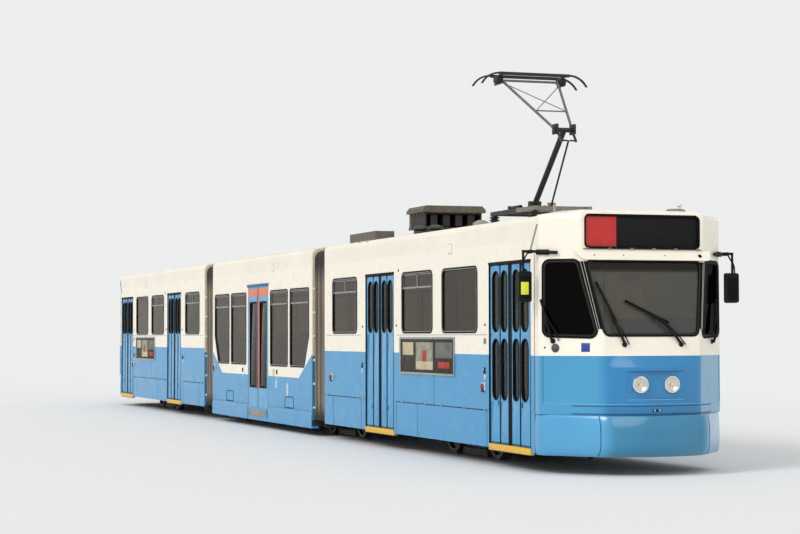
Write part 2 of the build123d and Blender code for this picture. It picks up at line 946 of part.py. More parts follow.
for direction, name in ((1, "front_bellows"), (-1, "rear_bellows")):
    start = min(direction * mid_end, direction * outer_start)
    with BuildPart() as bellows:
        with BuildSketch(Plane.YZ.offset(start)):
            add(arch_face(bellows_inset, skirt_bottom))
        extrude(amount=outer_start - mid_end)
        with BuildSketch(Plane.YZ.offset(start - 1)):
            add(arch_face(bellows_inset + bellows_thick, skirt_bottom))
        extrude(amount=outer_start - mid_end + 2, mode=Mode.SUBTRACT)
    save(bellows.part, name)


# Bogies and wheelsets

wheel_z = flange_depth + wheel_radius
box_half = 110
beam_knee = 700
beam_drop = 130
beam_drop_half = 480
spring_x = 130
spring_radius = 95
bolster_half = 240
bolster_low = rail + 550
bolster_high = rail + 640
motor_top = rail + 560
brake_y = 750
brake_width = 70
brake_half = 500
brake_bottom = rail + 15
brake_top = rail + 110


def wheelset(x, name):
    """An axle with two flanged wheels: tyre, web and hub in one turned profile."""
    r = wheel_radius
    inner = back_to_back / 2
    with BuildPart() as pair:
        with BuildSketch(Plane.XY):
            with BuildLine():
                Polyline(
                    (0, 0),
                    (axle_radius, 0),
                    (axle_radius, inner - 30),
                    (axle_radius + 50, inner - 30),
                    (axle_radius + 55, inner + 35),
                    (r - 65, inner + 45),
                    (r - 60, inner),
                    (r + flange_depth, inner),
                    (r + flange_depth, inner + 20),
                    (r, inner + 34),
                    (r, inner + tyre_width),
                    (r - 60, inner + tyre_width),
                    (r - 65, inner + 62),
                    (axle_radius + 50, inner + 75),
                    (axle_radius + 45, inner + 100),
                    (axle_radius, inner + 100),
                    (axle_radius, axle_half_length),
                    (0, axle_half_length),
                    close=True,
                )
            make_face()
            mirror(about=Plane.XZ)
        revolve(axis=Axis.Y)
    return save(pair.part.moved(Location((x, 0, wheel_z))), name)


def side_beam(x, side):
    """A bogie's side beam: high over the axle boxes, dropped in the middle under the springs."""
    y_near, y_far = sorted((side * beam_y, side * (beam_y + beam_width)))
    with BuildPart() as beam:
        with BuildSketch(Plane.XZ.offset(-y_far)):
            with BuildLine():
                FilletPolyline(
                    (x - bogie_half_length, beam_bottom),
                    (x - beam_knee, beam_bottom),
                    (x - beam_drop_half, beam_bottom - beam_drop),
                    (x + beam_drop_half, beam_bottom - beam_drop),
                    (x + beam_knee, beam_bottom),
                    (x + bogie_half_length, beam_bottom),
                    (x + bogie_half_length, beam_top),
                    (x + beam_knee - 60, beam_top),
                    (x + beam_drop_half - 60, beam_top - beam_drop),
                    (x - beam_drop_half + 60, beam_top - beam_drop),
                    (x - beam_knee + 60, beam_top),
                    (x - bogie_half_length, beam_top),
                    radius=35,
                    close=True,
                )
            make_face()
        extrude(amount=beam_width)
    return beam.part


def bogie(x, name):
    """A bogie frame: side beams, springs, a cross bolster, track brakes and its two motors."""
    with BuildPart() as frame:
        for side in (-1, 1):
            y0, y1 = sorted((side * beam_y, side * (beam_y + beam_width)))
            add(side_beam(x, side))
            for axle in (-1, 1):
                axle_x = x + axle * wheelbase / 2
                box_between(
                    (axle_x - box_half, y0, wheel_z - box_half),
                    (axle_x + box_half, y1, beam_bottom + 1),
                )
                # A coil spring on the dropped middle of the beam, under the bolster's end
                spring_low = beam_top - beam_drop - 1
                with Locations((x + axle * spring_x, (y0 + y1) / 2, (spring_low + bolster_low) / 2)):
                    Cylinder(spring_radius, bolster_low + 1 - spring_low)
                # A hanger of the track brake, from the beam inwards and down to its bar
                hanger = sorted((side * brake_y, side * (beam_y + 5)))
                hanger_x = x + axle * brake_half * 0.7
                box_between(
                    (hanger_x - 20, hanger[0], beam_bottom - beam_drop + 10),
                    (hanger_x + 20, hanger[1], beam_bottom - beam_drop + 50),
                )
                box_between(
                    (hanger_x - 20, side * brake_y - 15, brake_top - 5),
                    (hanger_x + 20, side * brake_y + 15, beam_bottom - beam_drop + 50),
                )
            box_between(
                (x - brake_half, side * brake_y - brake_width / 2, brake_bottom),
                (x + brake_half, side * brake_y + brake_width / 2, brake_top),
            )
        bolster_reach = beam_y + beam_width
        box_between(
            (x - bolster_half, -bolster_reach, bolster_low), (x + bolster_half, bolster_reach, bolster_high)
        )
        with Locations((x, 0, (bolster_high + bolster_top) / 2)):
            Cylinder(centre_plate_radius + 60, bolster_top - bolster_high)
        for axle in (-1, 1):
            motor_x = sorted((x + axle * 185, x + axle * (wheelbase / 2 - 120)))
            box_between((motor_x[0], -380, rail + 200), (motor_x[1], 380, motor_top))
            axle_at = (x + axle * wheelbase / 2, 0, wheel_z)
            with Locations(Location(axle_at, (90, 0, 0))):
                Cylinder(axle_radius + seat_gap, 2 * axle_half_length + 40, mode=Mode.SUBTRACT)
        # The beam between the motors that carries them and meets the bolster
        box_between((x - 190, -300, motor_top - 120), (x + 190, 300, bolster_low + 1))
    return save(frame.part, name)


bogie_places = (-end_bogie_x, -pivot_x, pivot_x, end_bogie_x)
for number, place in enumerate(bogie_places, start=1):
    bogie(place, "bogie_" + str(number))
    for axle in (-1, 1):
        index = 2 * number - (1 if axle < 0 else 0)
        wheelset(place + axle * wheelbase / 2, "wheelset_" + str(index))


# Seats, each a bench for two or one with a bent back, seen through the glass

seat_length = 430
seat_height = 430
seat_back = 880
seat_shell = 50


def seat_shape(x, y, width, floor_z, facing):
    """A bent seat shell on a plain foot, facing along X."""
    f = facing
    seat_z = floor_z + seat_height
    with BuildPart() as bench:
        with BuildSketch(Plane.XZ.offset(-(y + width / 2))):
            with BuildLine():
                Polyline(
                    (x + f * seat_length, seat_z),
                    (x, seat_z - 20),
                    (x - f * 60, floor_z + seat_back),
                    (x - f * (60 + seat_shell), floor_z + seat_back),
                    (x - f * seat_shell, seat_z - 70),
                    (x + f * 120, seat_z - 70),
                    (x + f * 120, floor_z + seat_gap),
                    (x + f * 200, floor_z + seat_gap),
                    (x + f * 200, seat_z - 70),
                    (x + f * seat_length, seat_z - 60),
                    close=True,
                )
            make_face()
        extrude(amount=width)
    return bench.part


# Seat places of an outer section: distance along the tram, bench on the right, on the left
outer_seat_rows = (
    (5250, True, True),
    (6050, True, True),
    (7100, False, True),
    (7900, False, True),
    (8950, True, True),
    (9800, True, True),
    (10650, True, True),
    (11500, True, True),
)
bench_width = 840
bench_wall_gap = 30
bench_y = half_width - wall - bench_wall_gap - bench_width / 2


def outer_seats(direction, name):
    with BuildPart() as benches:
        for x, right, left in outer_seat_rows:
            if right:
                add(seat_shape(direction * x, -bench_y, bench_width, high_floor, 1))
            if left:
                add(seat_shape(direction * x, bench_y, bench_width, high_floor, 1))
    return save(benches.part, name)


outer_seats(1, "front_seats")
outer_seats(-1, "rear_seats")

mid_seat_rows = (1260, 2030, 3100)
with BuildPart() as mid_seats:
    for x in mid_seat_rows:
        for direction in (-1, 1):
            level = high_floor if x > mid_rise_x else low_floor
            for side in (-1, 1):
                add(seat_shape(direction * x, side * bench_y, bench_width, level, -direction))
save(mid_seats.part, "mid_seats")

# The driver's place: desk, seat and the partition behind it
partition_x = 14000
partition_wall_gap = 90
partition_width = 1300
desk_half = 560
with BuildPart() as cab:
    partition_outer = half_width - wall - partition_wall_gap
    box_between(
        (partition_x, partition_outer - partition_width, high_floor + seat_gap),
        (partition_x + 40, partition_outer, high_floor + 1150),
    )
    with BuildSketch(Plane.XZ.offset(-desk_half)):
        with BuildLine():
            Polyline(
                (14560, high_floor + seat_gap),
                (14880, high_floor + seat_gap),
                (14880, high_floor + 820),
                (14700, high_floor + 880),
                (14480, high_floor + 780),
                (14480, high_floor + 720),
                (14560, high_floor + 700),
                close=True,
            )
        make_face()
    extrude(amount=2 * desk_half)
    add(seat_shape(14170, 250, 480, high_floor, 1))
save(cab.part, "cab_fittings")


# Lamps: two round headlamps in front, two tail lamps behind
headlamp_z = rail + 1155
headlamp_y = 225
lamp_radius = 98
tail_lamp_places = (130, 290)
tail_lamp_radius = 60
headlamp_depth = 30
tail_lamp_depth = 25
lamp_rim = 12
lens_rise = 12


def lamp_body(radius, depth):
    """A round lamp along +X from x = 0: a rim with a shallow domed lens."""
    lens_radius = radius - lamp_rim
    with BuildPart() as unit:
        with BuildSketch(Plane.XZ):
            with BuildLine():
                Polyline(
                    (0, 0), (0, radius), (depth, radius), (depth + 4, radius - 4), (depth + 2, lens_radius)
                )
                ThreePointArc(
                    (depth + 2, lens_radius),
                    cap_middle(depth + 2, lens_radius, lens_rise),
                    (depth + 2 + lens_rise, 0),
                )
                Line((depth + 2 + lens_rise, 0), (0, 0))
            make_face()
        revolve(axis=Axis.X)
    return unit.part


def lamps(y_places, radius, depth, turn, name):
    """Pairs of lamps on the back of an end's recess."""
    with BuildPart() as units:
        for y in y_places:
            for side in (-1, 1):
                seat = Location((recess_back + seat_gap, side * y, headlamp_z))
                add(lamp_body(radius, depth).moved(seat))
    return save(units.part.rotate(Axis.Z, turn), name)


lamps((headlamp_y,), lamp_radius, headlamp_depth, 0, "headlamps")
lamps(tail_lamp_places, tail_lamp_radius, tail_lamp_depth, 180, "tail_lamps")


# Mirrors on their arms and the wipers
mirror_x = 14330
mirror_width = 190
mirror_depth = 90
mirror_gap = 105
mirror_low = rail + 2230
mirror_high = rail + 2640
mirror_arm_z = rail + 2900
with BuildPart() as mirrors:
    mirror_inner = half_width + mirror_gap
    arm_end = mirror_inner + mirror_width / 2 + 25
    for side in (-1, 1):
        mirror_mid = side * (mirror_inner + mirror_width / 2)
        with BuildSketch(Plane.YZ.offset(mirror_x - mirror_depth / 2)):
            with Locations((mirror_mid, (mirror_low + mirror_high) / 2)):
                RectangleRounded(mirror_width, mirror_high - mirror_low, 32)
        extrude(amount=mirror_depth, taper=3)
        y0, y1 = sorted((side * (arm_end - 25), side * arm_end))
        box_between((mirror_x - 12, y0, mirror_high - 10), (mirror_x + 12, y1, mirror_arm_z))
        y0, y1 = sorted((side * (half_width + seat_gap), side * arm_end))
        box_between((mirror_x - 14, y0, mirror_arm_z - 18), (mirror_x + 14, y1, mirror_arm_z + 17))
save(mirrors.part, "mirrors")


# Roof gear of the front section: resistor box, low case and the pantograph's base


def roof_form():
    """The space that the front roof takes, a seat gap larger, to seat things on its crown."""
    with BuildPart() as form:
        with BuildSketch(Plane.YZ.offset(outer_start)):
            add(arch_face(-seat_gap, cantrail))
        extrude(amount=side_end - outer_start)
    return form.part


resistor_x = (6850, 7600)
resistor_half = 500
resistor_low = roof_crown + 85
resistor_top = roof_crown + 350
resistor_wall = 25
lid_over = 55
lid_height = 110
lid_chamfer = 60
bank_half = 60
bank_places = (-330, -110, 110, 330)
case_x = (4750, 6200)
case_y = (-900, -560)
case_top = roof_crown + 105
post_radius = 30
post_half = 420
vent_at = (10800, -750)
aerial_at = (13900, -900)
vent_radius = 130
vent_top = roof_crown - 15
vent_rise = 55
gear_low = roof_crown - 80
with BuildPart() as roof_gear:
    # The resistor box: open at its front, with four banks of grids inside
    box_between((resistor_x[0], -resistor_half, resistor_low), (resistor_x[1], resistor_half, resistor_top + 5))
    cut_between(
        (resistor_x[0] + resistor_wall, -resistor_half + resistor_wall, resistor_low + resistor_wall),
        (resistor_x[1] + 5, resistor_half - resistor_wall, resistor_top - resistor_wall),
    )
    for bank_y in bank_places:
        box_between(
            (resistor_x[0] + 5, bank_y - bank_half, resistor_low + 45),
            (resistor_x[1] - 40, bank_y + bank_half, resistor_top - 40),
        )
        box_between(
            (resistor_x[0] + 5, bank_y - 15, resistor_low + 5), (resistor_x[1] - 60, bank_y + 15, resistor_top)
        )
    # Its lid, wider than the box, with sloping shoulders
    lid_half = resistor_half + lid_over
    with BuildSketch(Plane.YZ.offset(resistor_x[0] - 30)):
        with BuildLine():
            Polyline(
                (-lid_half, resistor_top),
                (-lid_half, resistor_top + lid_height - lid_chamfer),
                (-lid_half + lid_chamfer, resistor_top + lid_height),
                (lid_half - lid_chamfer, resistor_top + lid_height),
                (lid_half, resistor_top + lid_height - lid_chamfer),
                (lid_half, resistor_top),
                close=True,
            )
        make_face()
    extrude(amount=resistor_x[1] - resistor_x[0] + 80)
    for gx in (resistor_x[0] + 50, resistor_x[1] - 50):
        for gy in (-post_half, post_half):
            with Locations((gx, gy, (gear_low + resistor_low + 5) / 2)):
                Cylinder(post_radius, resistor_low + 5 - gear_low)
    box_between((case_x[0], case_y[0], gear_low), (case_x[1], case_y[1], case_top))
    with BuildSketch(Plane.XZ.offset(-vent_at[1])):
        with BuildLine():
            Polyline(
                (vent_at[0], gear_low), (vent_at[0] + vent_radius, gear_low), (vent_at[0] + vent_radius, vent_top)
            )
            cap_z, cap_run = cap_middle(vent_top, vent_radius, vent_rise)
            ThreePointArc(
                (vent_at[0] + vent_radius, vent_top),
                (vent_at[0] + cap_run, cap_z),
                (vent_at[0], vent_top + vent_rise),
            )
            Line((vent_at[0], vent_top + vent_rise), (vent_at[0], gear_low))
        make_face()
    revolve(axis=Axis((vent_at[0], vent_at[1], 0), (0, 0, 1)))
    with Locations((aerial_at[0], aerial_at[1], roof_edge + 60)):
        Cylinder(20, 240)
    add(roof_form(), mode=Mode.SUBTRACT)
save(roof_gear.part, "roof_gear")

base_x = (10500, 12050)
base_half = 420
base_low = rail + 3600
base_rail = 60
insulator_radius = 45
rod_plates = ((-50, -30), (30, 50))
foot_plate = 28
foot_half = 62
with BuildPart() as panto_base:
    for bx in base_x:
        for side in (-1, 1):
            with Locations((bx, side * base_half, (base_low + gear_low) / 2)):
                Cylinder(insulator_radius, base_low - gear_low)
    for side in (-1, 1):
        y0, y1 = sorted((side * (base_half - 35), side * (base_half + 35)))
        box_between((base_x[0] - 80, y0, base_low), (base_x[1] + 80, y1, base_low + base_rail))
    for bx in (base_x[0], panto_foot[0], panto_rod_foot[0], base_x[1]):
        box_between((bx - 30, -base_half, base_low), (bx + 30, base_half, base_low + base_rail))
    for side in (-1, 1):
        y0, y1 = sorted((side * foot_half, side * (foot_half + foot_plate)))
        box_between(
            (panto_foot[0] - 45, y0, base_low + 50),
            (panto_foot[0] + 45, y1, panto_foot[1] + 50),
        )
    for y0, y1 in rod_plates:
        box_between(
            (panto_rod_foot[0] - 30, y0, base_low + 50),
            (panto_rod_foot[0] + 30, y1, panto_rod_foot[1] + 35),
        )
    add(roof_form(), mode=Mode.SUBTRACT)
save(panto_base.part, "pantograph_base")


def tube_between(start, end, start_y, end_y, radius):
    """A round bar between two points of x and z, each at its own y."""
    foot = Vector(start[0], start_y, start[1])
    tip = Vector(end[0], end_y, end[1])
    run = tip - foot
    with BuildPart() as bar:
        with BuildSketch(Plane(origin=foot, z_dir=run.normalized())):
            Circle(radius)
        extrude(amount=run.length)
    return bar.part


def cross_bar(point, y0, y1, radius):
    """A round bar across the tram at a point of x and z."""
    with Locations(Location((point[0], (y0 + y1) / 2, point[1]), (90, 0, 0))):
        Cylinder(radius, y1 - y0)


foot_radius = 50
lower_tube_radius = 42
knee_half = 110
knee_radius = 34
sleeve = 40
sleeve_radius = 45
arm_radius = 20
lever_thick = 12
lever_pin = 12
lever_pin_gap = 5
rod_radius = 14
head_bar_half = 480
head_bar_radius = 18
tie_share = 0.35
brace_share = 0.92
brace_radius = 7
tie_radius = 10
tie_lift = 22
with BuildPart() as lower_arm:
    cross_bar(panto_foot, -foot_half + bearing_gap, foot_half - bearing_gap, foot_radius)
    add(tube_between(panto_foot, panto_knee, 0, 0, lower_tube_radius))
    cross_bar(panto_knee, -knee_half, knee_half, knee_radius)
save(lower_arm.part, "pantograph_lower_arm")


def arm_place(share):
    """A point of the upper arm's tube, as x and z, and how far its side stands from the middle."""
    x = panto_knee[0] + share * (panto_head_pivot[0] - panto_knee[0])
    z = panto_knee[1] + share * (panto_head_pivot[1] - panto_knee[1])
    foot_y = knee_half + bearing_gap + sleeve / 2
    return (x, z), foot_y + share * (head_bar_half - 25 - foot_y)


with BuildPart() as upper_arm:
    sleeve_inner = knee_half + bearing_gap
    tie_at, tie_half = arm_place(tie_share)
    brace_at, brace_half = arm_place(brace_share)
    for side in (-1, 1):
        y0, y1 = sorted((side * sleeve_inner, side * (sleeve_inner + sleeve)))
        cross_bar(panto_knee, y0, y1, sleeve_radius)
        add(
            tube_between(
                panto_knee, panto_head_pivot, side * (sleeve_inner + sleeve / 2), side * (head_bar_half - 25), arm_radius
            )
        )
        brace_foot = (tie_at[0], tie_at[1] + tie_lift)
        add(tube_between(brace_foot, brace_at, side * tie_half, -side * brace_half, brace_radius))
        # The lever below the knee, whose pin the control rod steers
        plate_y = sleeve_inner if side > 0 else -sleeve_inner - lever_thick
        with BuildSketch(Plane.XZ.offset(-plate_y)):
            with Locations(panto_rod_top):
                Circle(24)
            with BuildLine():
                Polyline(
                    (panto_knee[0] + 10, panto_knee[1] - 40),
                    (panto_rod_top[0] - 14, panto_rod_top[1] - 18),
                    (panto_rod_top[0] + 14, panto_rod_top[1] + 18),
                    (panto_knee[0] + 40, panto_knee[1] + 10),
                    close=True,
                )
            make_face()
        extrude(amount=-lever_thick)
        pin_y = sorted((side * (rod_radius + lever_pin_gap), side * (sleeve_inner + 2)))
        cross_bar(panto_rod_top, pin_y[0], pin_y[1], lever_pin)
    cross_bar(panto_head_pivot, -head_bar_half, head_bar_half, head_bar_radius)
    cross_bar((tie_at[0], tie_at[1] + tie_lift), -tie_half, tie_half, tie_radius)
save(upper_arm.part, "pantograph_upper_arm")

with BuildPart() as rod:
    cross_bar(panto_rod_foot, rod_plates[0][1] + bearing_gap, rod_plates[1][0] - bearing_gap, 30)
    add(tube_between(panto_rod_foot, panto_rod_top, 0, 0, rod_radius))
save(rod.part, "pantograph_rod")

with BuildPart() as head:
    hx, hz = panto_head_pivot
    for side in (-1, 1):
        carrier_y = side * (head_bar_half + bearing_gap + 28)
        cross_bar((hx, hz), carrier_y - 28, carrier_y + 28, 30)
        rear_strip = (hx - strip_pitch / 2, hz + 70)
        front_strip = (hx + strip_pitch / 2, hz + 70)
        add(tube_between(rear_strip, front_strip, carrier_y, carrier_y, 14))
        add(tube_between((hx, hz), (hx, hz + 75), carrier_y, carrier_y, 14))
    for strip in (-1, 1):
        strip_x = hx + strip * strip_pitch / 2
        box_between((strip_x - 20, -560, hz + 60), (strip_x + 20, 560, hz + 105))
        for side in (-1, 1):
            with BuildSketch(Plane.YZ.offset(strip_x - 14)):
                with BuildLine():
                    outer_arc = RadiusArc(
                        (side * 555, hz + 100), (side * head_half, hz - 80), side * 330
                    )
                    inner_arc = RadiusArc(
                        (side * 555, hz + 72), (side * (head_half - 28), hz - 80), side * 302
                    )
                    Line(outer_arc @ 0, inner_arc @ 0)
                    Line(outer_arc @ 1, inner_arc @ 1)
                make_face()
            extrude(amount=28)
save(head.part, "pantograph_head")
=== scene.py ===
# %% [markdown]
# # An articulated tram in three sections
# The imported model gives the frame: walls, roofs, floors, doors, running gear and the
# pantograph, all in metres, with +X towards the driver and the doors on the -Y side.
# This script paints those parts and adds what a coach builder fits last: rubber window
# frames, wipers, lamps, seat covers, bellows folds, roof gear and plain plates.

# %% Load the frame
import bpy, bmesh, json
import numpy as np
from fnmatch import fnmatch
from mathutils import Matrix, Vector

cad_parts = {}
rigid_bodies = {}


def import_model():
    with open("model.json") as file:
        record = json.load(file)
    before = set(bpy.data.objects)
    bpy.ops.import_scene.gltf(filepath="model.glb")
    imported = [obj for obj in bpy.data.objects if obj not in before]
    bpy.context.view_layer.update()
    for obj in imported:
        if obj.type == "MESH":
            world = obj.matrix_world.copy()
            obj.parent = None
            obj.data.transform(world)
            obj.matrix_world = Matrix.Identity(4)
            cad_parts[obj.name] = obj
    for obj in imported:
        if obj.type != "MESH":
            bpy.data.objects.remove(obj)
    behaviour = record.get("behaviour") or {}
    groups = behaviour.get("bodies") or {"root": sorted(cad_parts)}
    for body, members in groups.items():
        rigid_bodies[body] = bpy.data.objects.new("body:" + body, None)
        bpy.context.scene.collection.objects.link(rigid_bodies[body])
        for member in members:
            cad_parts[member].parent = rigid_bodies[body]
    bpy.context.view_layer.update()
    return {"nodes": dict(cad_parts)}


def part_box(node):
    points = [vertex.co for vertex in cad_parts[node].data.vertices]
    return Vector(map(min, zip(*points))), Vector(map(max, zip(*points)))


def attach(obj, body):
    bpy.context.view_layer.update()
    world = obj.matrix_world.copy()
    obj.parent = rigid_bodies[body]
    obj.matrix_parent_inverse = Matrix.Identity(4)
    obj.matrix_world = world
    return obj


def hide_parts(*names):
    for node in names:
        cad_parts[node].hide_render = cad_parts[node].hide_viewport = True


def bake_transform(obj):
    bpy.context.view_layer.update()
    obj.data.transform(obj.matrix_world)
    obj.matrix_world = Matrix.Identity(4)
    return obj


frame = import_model()
nodes = frame["nodes"]


# %% [markdown]
# ## Camera, floor and light
# The photograph was taken from the kerb, right of the track and ahead of the tram, with a
# long lens, which is why 30 metres of tram look so short. The camera's place was worked
# out from points of the body whose real places are known. A tram is too long for studio
# lamps, so two wide suns stand in for big soft boxes: one on the door side, one in front.

# %% Camera
IMAGE_WIDTH = 800
CAMERA_AT = Vector((38.652, -11.581, 1.826))
YAW, PITCH, ROLL = np.radians([161.082, 1.952, -0.115])
FOCAL_PIXELS = 2002.7

camera_data = bpy.data.cameras.new("photo_camera")
camera_data.sensor_width = 36.0
camera_data.lens = FOCAL_PIXELS / IMAGE_WIDTH * camera_data.sensor_width
camera_data.clip_end = 500.0
camera = bpy.data.objects.new("photo_camera", camera_data)
bpy.context.scene.collection.objects.link(camera)
forward = Vector((np.cos(YAW) * np.cos(PITCH), np.sin(YAW) * np.cos(PITCH), np.sin(PITCH)))
right = Vector((np.sin(YAW), -np.cos(YAW), 0.0))
up = right.cross(forward)
turned_right = right * np.cos(ROLL) + up * np.sin(ROLL)
turned_up = up * np.cos(ROLL) - right * np.sin(ROLL)
turn = Matrix((turned_right, turned_up, -forward)).transposed()
camera.matrix_world = Matrix.Translation(CAMERA_AT) @ turn.to_4x4()
bpy.context.scene.camera = camera
bpy.context.scene.view_settings.view_transform = "Standard"
print("lens", round(camera_data.lens, 2), "mm")


# %% Small helpers for colours and nodes
def linear(colour):
    """An sRGB hex colour as linear RGBA: each channel divided by 255 and put through the sRGB curve."""
    channels = np.array([int(colour[i:i + 2], 16) for i in (0, 2, 4)]) / 255
    low = channels / 12.92
    high = ((channels + 0.055) / 1.055) ** 2.4
    return (*np.where(channels <= 0.04045, low, high).tolist(), 1.0)


def add_node(tree, kind, settings=None, sockets=None):
    """Adds one node. settings are its properties; sockets are numbers, colours or outputs to link."""
    made = tree.nodes.new(kind)
    for name, value in (settings or {}).items():
        setattr(made, name, value)
    for name, value in (sockets or {}).items():
        if isinstance(value, bpy.types.NodeSocket):
            tree.links.new(value, made.inputs[name])
        else:
            made.inputs[name].default_value = value
    return made


def object_place(tree):
    """The Object coordinates: metres along, across and above the rail."""
    return add_node(tree, "ShaderNodeTexCoord").outputs["Object"]


def axes_of(tree):
    """The X, Y and Z of the Object coordinates."""
    return add_node(tree, "ShaderNodeSeparateXYZ", None, {0: object_place(tree)}).outputs


def calc(tree, operation, *values):
    """One sum on numbers or outputs, such as ABSOLUTE or MULTIPLY_ADD."""
    return add_node(tree, "ShaderNodeMath", {"operation": operation}, dict(enumerate(values))).outputs[0]


def ramp(tree, value, low, high, least=0.0, most=1.0):
    """A value carried from low and high to least and most, and held at them."""
    sockets = {"Value": value, "From Min": low, "From Max": high, "To Min": least, "To Max": most}
    return add_node(tree, "ShaderNodeMapRange", None, sockets).outputs[0]


def mixed(tree, share, first, second):
    """Two colours mixed: the first where the share is 0, the second where it is 1."""
    sockets = {"Factor": share, 6: first, 7: second}
    return add_node(tree, "ShaderNodeMix", {"data_type": "RGBA"}, sockets).outputs[2]


def noise(tree, where, scale, detail, **more):
    """Noise from 0 to 1, its scale in waves per metre."""
    sockets = {"Vector": where, "Scale": scale, "Detail": detail, **more}
    return add_node(tree, "ShaderNodeTexNoise", None, sockets).outputs["Fac"]


def stretched(tree, scale):
    """The Object coordinates squeezed along each axis."""
    sockets = {"Vector": object_place(tree), "Scale": scale}
    return add_node(tree, "ShaderNodeMapping", None, sockets).outputs[0]


# %% Floor, sky and suns
def new_material(name):
    """An empty node material with its output node."""
    made = bpy.data.materials.new(name)
    made.use_nodes = True
    made.node_tree.nodes.clear()
    return made, made.node_tree, add_node(made.node_tree, "ShaderNodeOutputMaterial")


BACKDROP = linear("EDEEEE")


def seen_rays(tree):
    """1 for rays from the camera and for those that a mirror or a pane passes on, else 0."""
    rays = add_node(tree, "ShaderNodeLightPath").outputs
    direct = calc(tree, "MAXIMUM", rays["Is Camera Ray"], rays["Is Transmission Ray"])
    return calc(tree, "MAXIMUM", direct, rays["Is Glossy Ray"])


# The screed is plain near the tram and turns into the backdrop's tone away from it, so no
# horizon cuts the picture; the distance counts metres across more than metres along
floor_paint, tree, output = new_material("floor_pale_screed")
cloudy = add_node(tree, "ShaderNodeTexNoise", None, {"Scale": 0.6, "Detail": 3.0}).outputs["Fac"]
screed = add_node(tree, "ShaderNodeBsdfPrincipled", None,
                  {"Base Color": mixed(tree, cloudy, linear("EBEBEA"), linear("F1F1F0")), "Roughness": 0.85})
away = add_node(tree, "ShaderNodeVectorMath", {"operation": "LENGTH"}, {0: stretched(tree, (0.42, 1.0, 1.0))})
fade = add_node(tree, "ShaderNodeMapRange", {"interpolation_type": "SMOOTHSTEP"},
                {"Value": away.outputs["Value"], "From Min": 5.0, "From Max": 26.0})
far_tone = add_node(tree, "ShaderNodeEmission", None, {"Color": BACKDROP, "Strength": 1.0})
blend = add_node(tree, "ShaderNodeMixShader", None,
                 {0: calc(tree, "MULTIPLY", fade.outputs[0], seen_rays(tree)),
                  1: screed.outputs[0], 2: far_tone.outputs[0]})
tree.links.new(blend.outputs[0], output.inputs[0])

floor_mesh = bpy.data.meshes.new("floor")
floor_mesh.from_pydata([(-300, -300, 0), (300, -300, 0), (300, 300, 0), (-300, 300, 0)], [], [(0, 1, 2, 3)])
floor = bpy.data.objects.new("floor", floor_mesh)
floor.data.materials.append(floor_paint)
bpy.context.scene.collection.objects.link(floor)

world = bpy.data.worlds.new("studio_sky")
bpy.context.scene.world = world
world.use_nodes = True
tree = world.node_tree
tree.nodes.clear()
dome = add_node(tree, "ShaderNodeBackground", None, {"Color": linear("EDEFF1"), "Strength": 0.66})
backdrop = add_node(tree, "ShaderNodeBackground", None, {"Color": BACKDROP, "Strength": 1.0})
sky = add_node(tree, "ShaderNodeMixShader", None,
               {0: seen_rays(tree), 1: dome.outputs[0], 2: backdrop.outputs[0]})
add_node(tree, "ShaderNodeOutputWorld", None, {0: sky.outputs[0]})

# Suns: name, direction that the light travels, strength, width in degrees
SUNS = (
    ("door_side_light", (-0.30, 0.80, -0.62), 1.38, 24),
    ("front_light", (-0.80, 0.10, -0.55), 0.70, 40),
)
for name, travel, strength, width in SUNS:
    sun = bpy.data.lights.new(name, "SUN")
    sun.energy = strength
    sun.angle = np.radians(width)
    lamp = bpy.data.objects.new(name, sun)
    lamp.rotation_euler = Vector(travel).to_track_quat("-Z", "Y").to_euler()
    bpy.context.scene.collection.objects.link(lamp)
print("suns", len(SUNS))


# %% [markdown]
# ## Finishes
# Each finish starts from what the real surface is. The body is steel sheet under sprayed
# alkyd enamel, cream above and light blue below, washed by machine so it keeps a film of
# road dust low down. A finish that changes along the tram reads the Object coordinates,
# which here are metres along, across and above the rail, so a paint line is at its height.

# %% The shared shader
def finish(name, colour, roughness, metallic=0.0, bump=None, **sockets):
    """A material with one shader: colour and roughness are values or functions of the node tree,
    bump is a function of it."""
    made, tree, output = new_material(name)
    shader = add_node(tree, "ShaderNodeBsdfPrincipled", None, {"Metallic": metallic})
    for socket, value in (("Base Color", colour), ("Roughness", roughness)):
        if callable(value):
            tree.links.new(value(tree), shader.inputs[socket])
        else:
            shader.inputs[socket].default_value = value
    for socket, value in sockets.items():
        shader.inputs[socket.replace("_", " ")].default_value = value
    if bump:
        tree.links.new(bump(tree), shader.inputs["Normal"])
    tree.links.new(shader.outputs[0], output.inputs[0])
    return made


def speckle(low, high, scale, detail=4.0, stretch=(1, 1, 1)):
    """Two colours mixed by noise; scale is in waves per metre and stretch squeezes it along an axis."""
    def make(tree):
        waves = noise(tree, stretched(tree, stretch), scale, detail)
        return mixed(tree, ramp(tree, waves, 0.3, 0.7), linear(low), linear(high))
    return make


def ripple(scale, distance, strength=0.5):
    """A bump from noise, in waves per metre, whose height is distance in metres."""
    def make(tree):
        waves = noise(tree, object_place(tree), scale, 3.0)
        sockets = {"Height": waves, "Distance": distance, "Strength": strength}
        return add_node(tree, "ShaderNodeBump", None, sockets).outputs[0]
    return make


def rough(low, high, scale):
    """A roughness between two values, by noise in waves per metre."""
    def make(tree):
        return ramp(tree, noise(tree, object_place(tree), scale, 4.0), 0.3, 0.7, low, high)
    return make


# %% [markdown]
# The livery is one idea in three drawings: a cream field over a blue one, with a film of
# dust that grows towards the skirt and thin streaks where rain runs down from the windows.
# A function of the height gives the line for the long sections; on the middle section the
# cream dips under its deep windows, so there the line is the higher of a level and a slant.

# %% The livery
CREAM, BLUE, FRONT_BLUE, DUST = "F6EEDD", "3A94C6", "187DB5", "8A857A"
WAIST_Z = 1.553


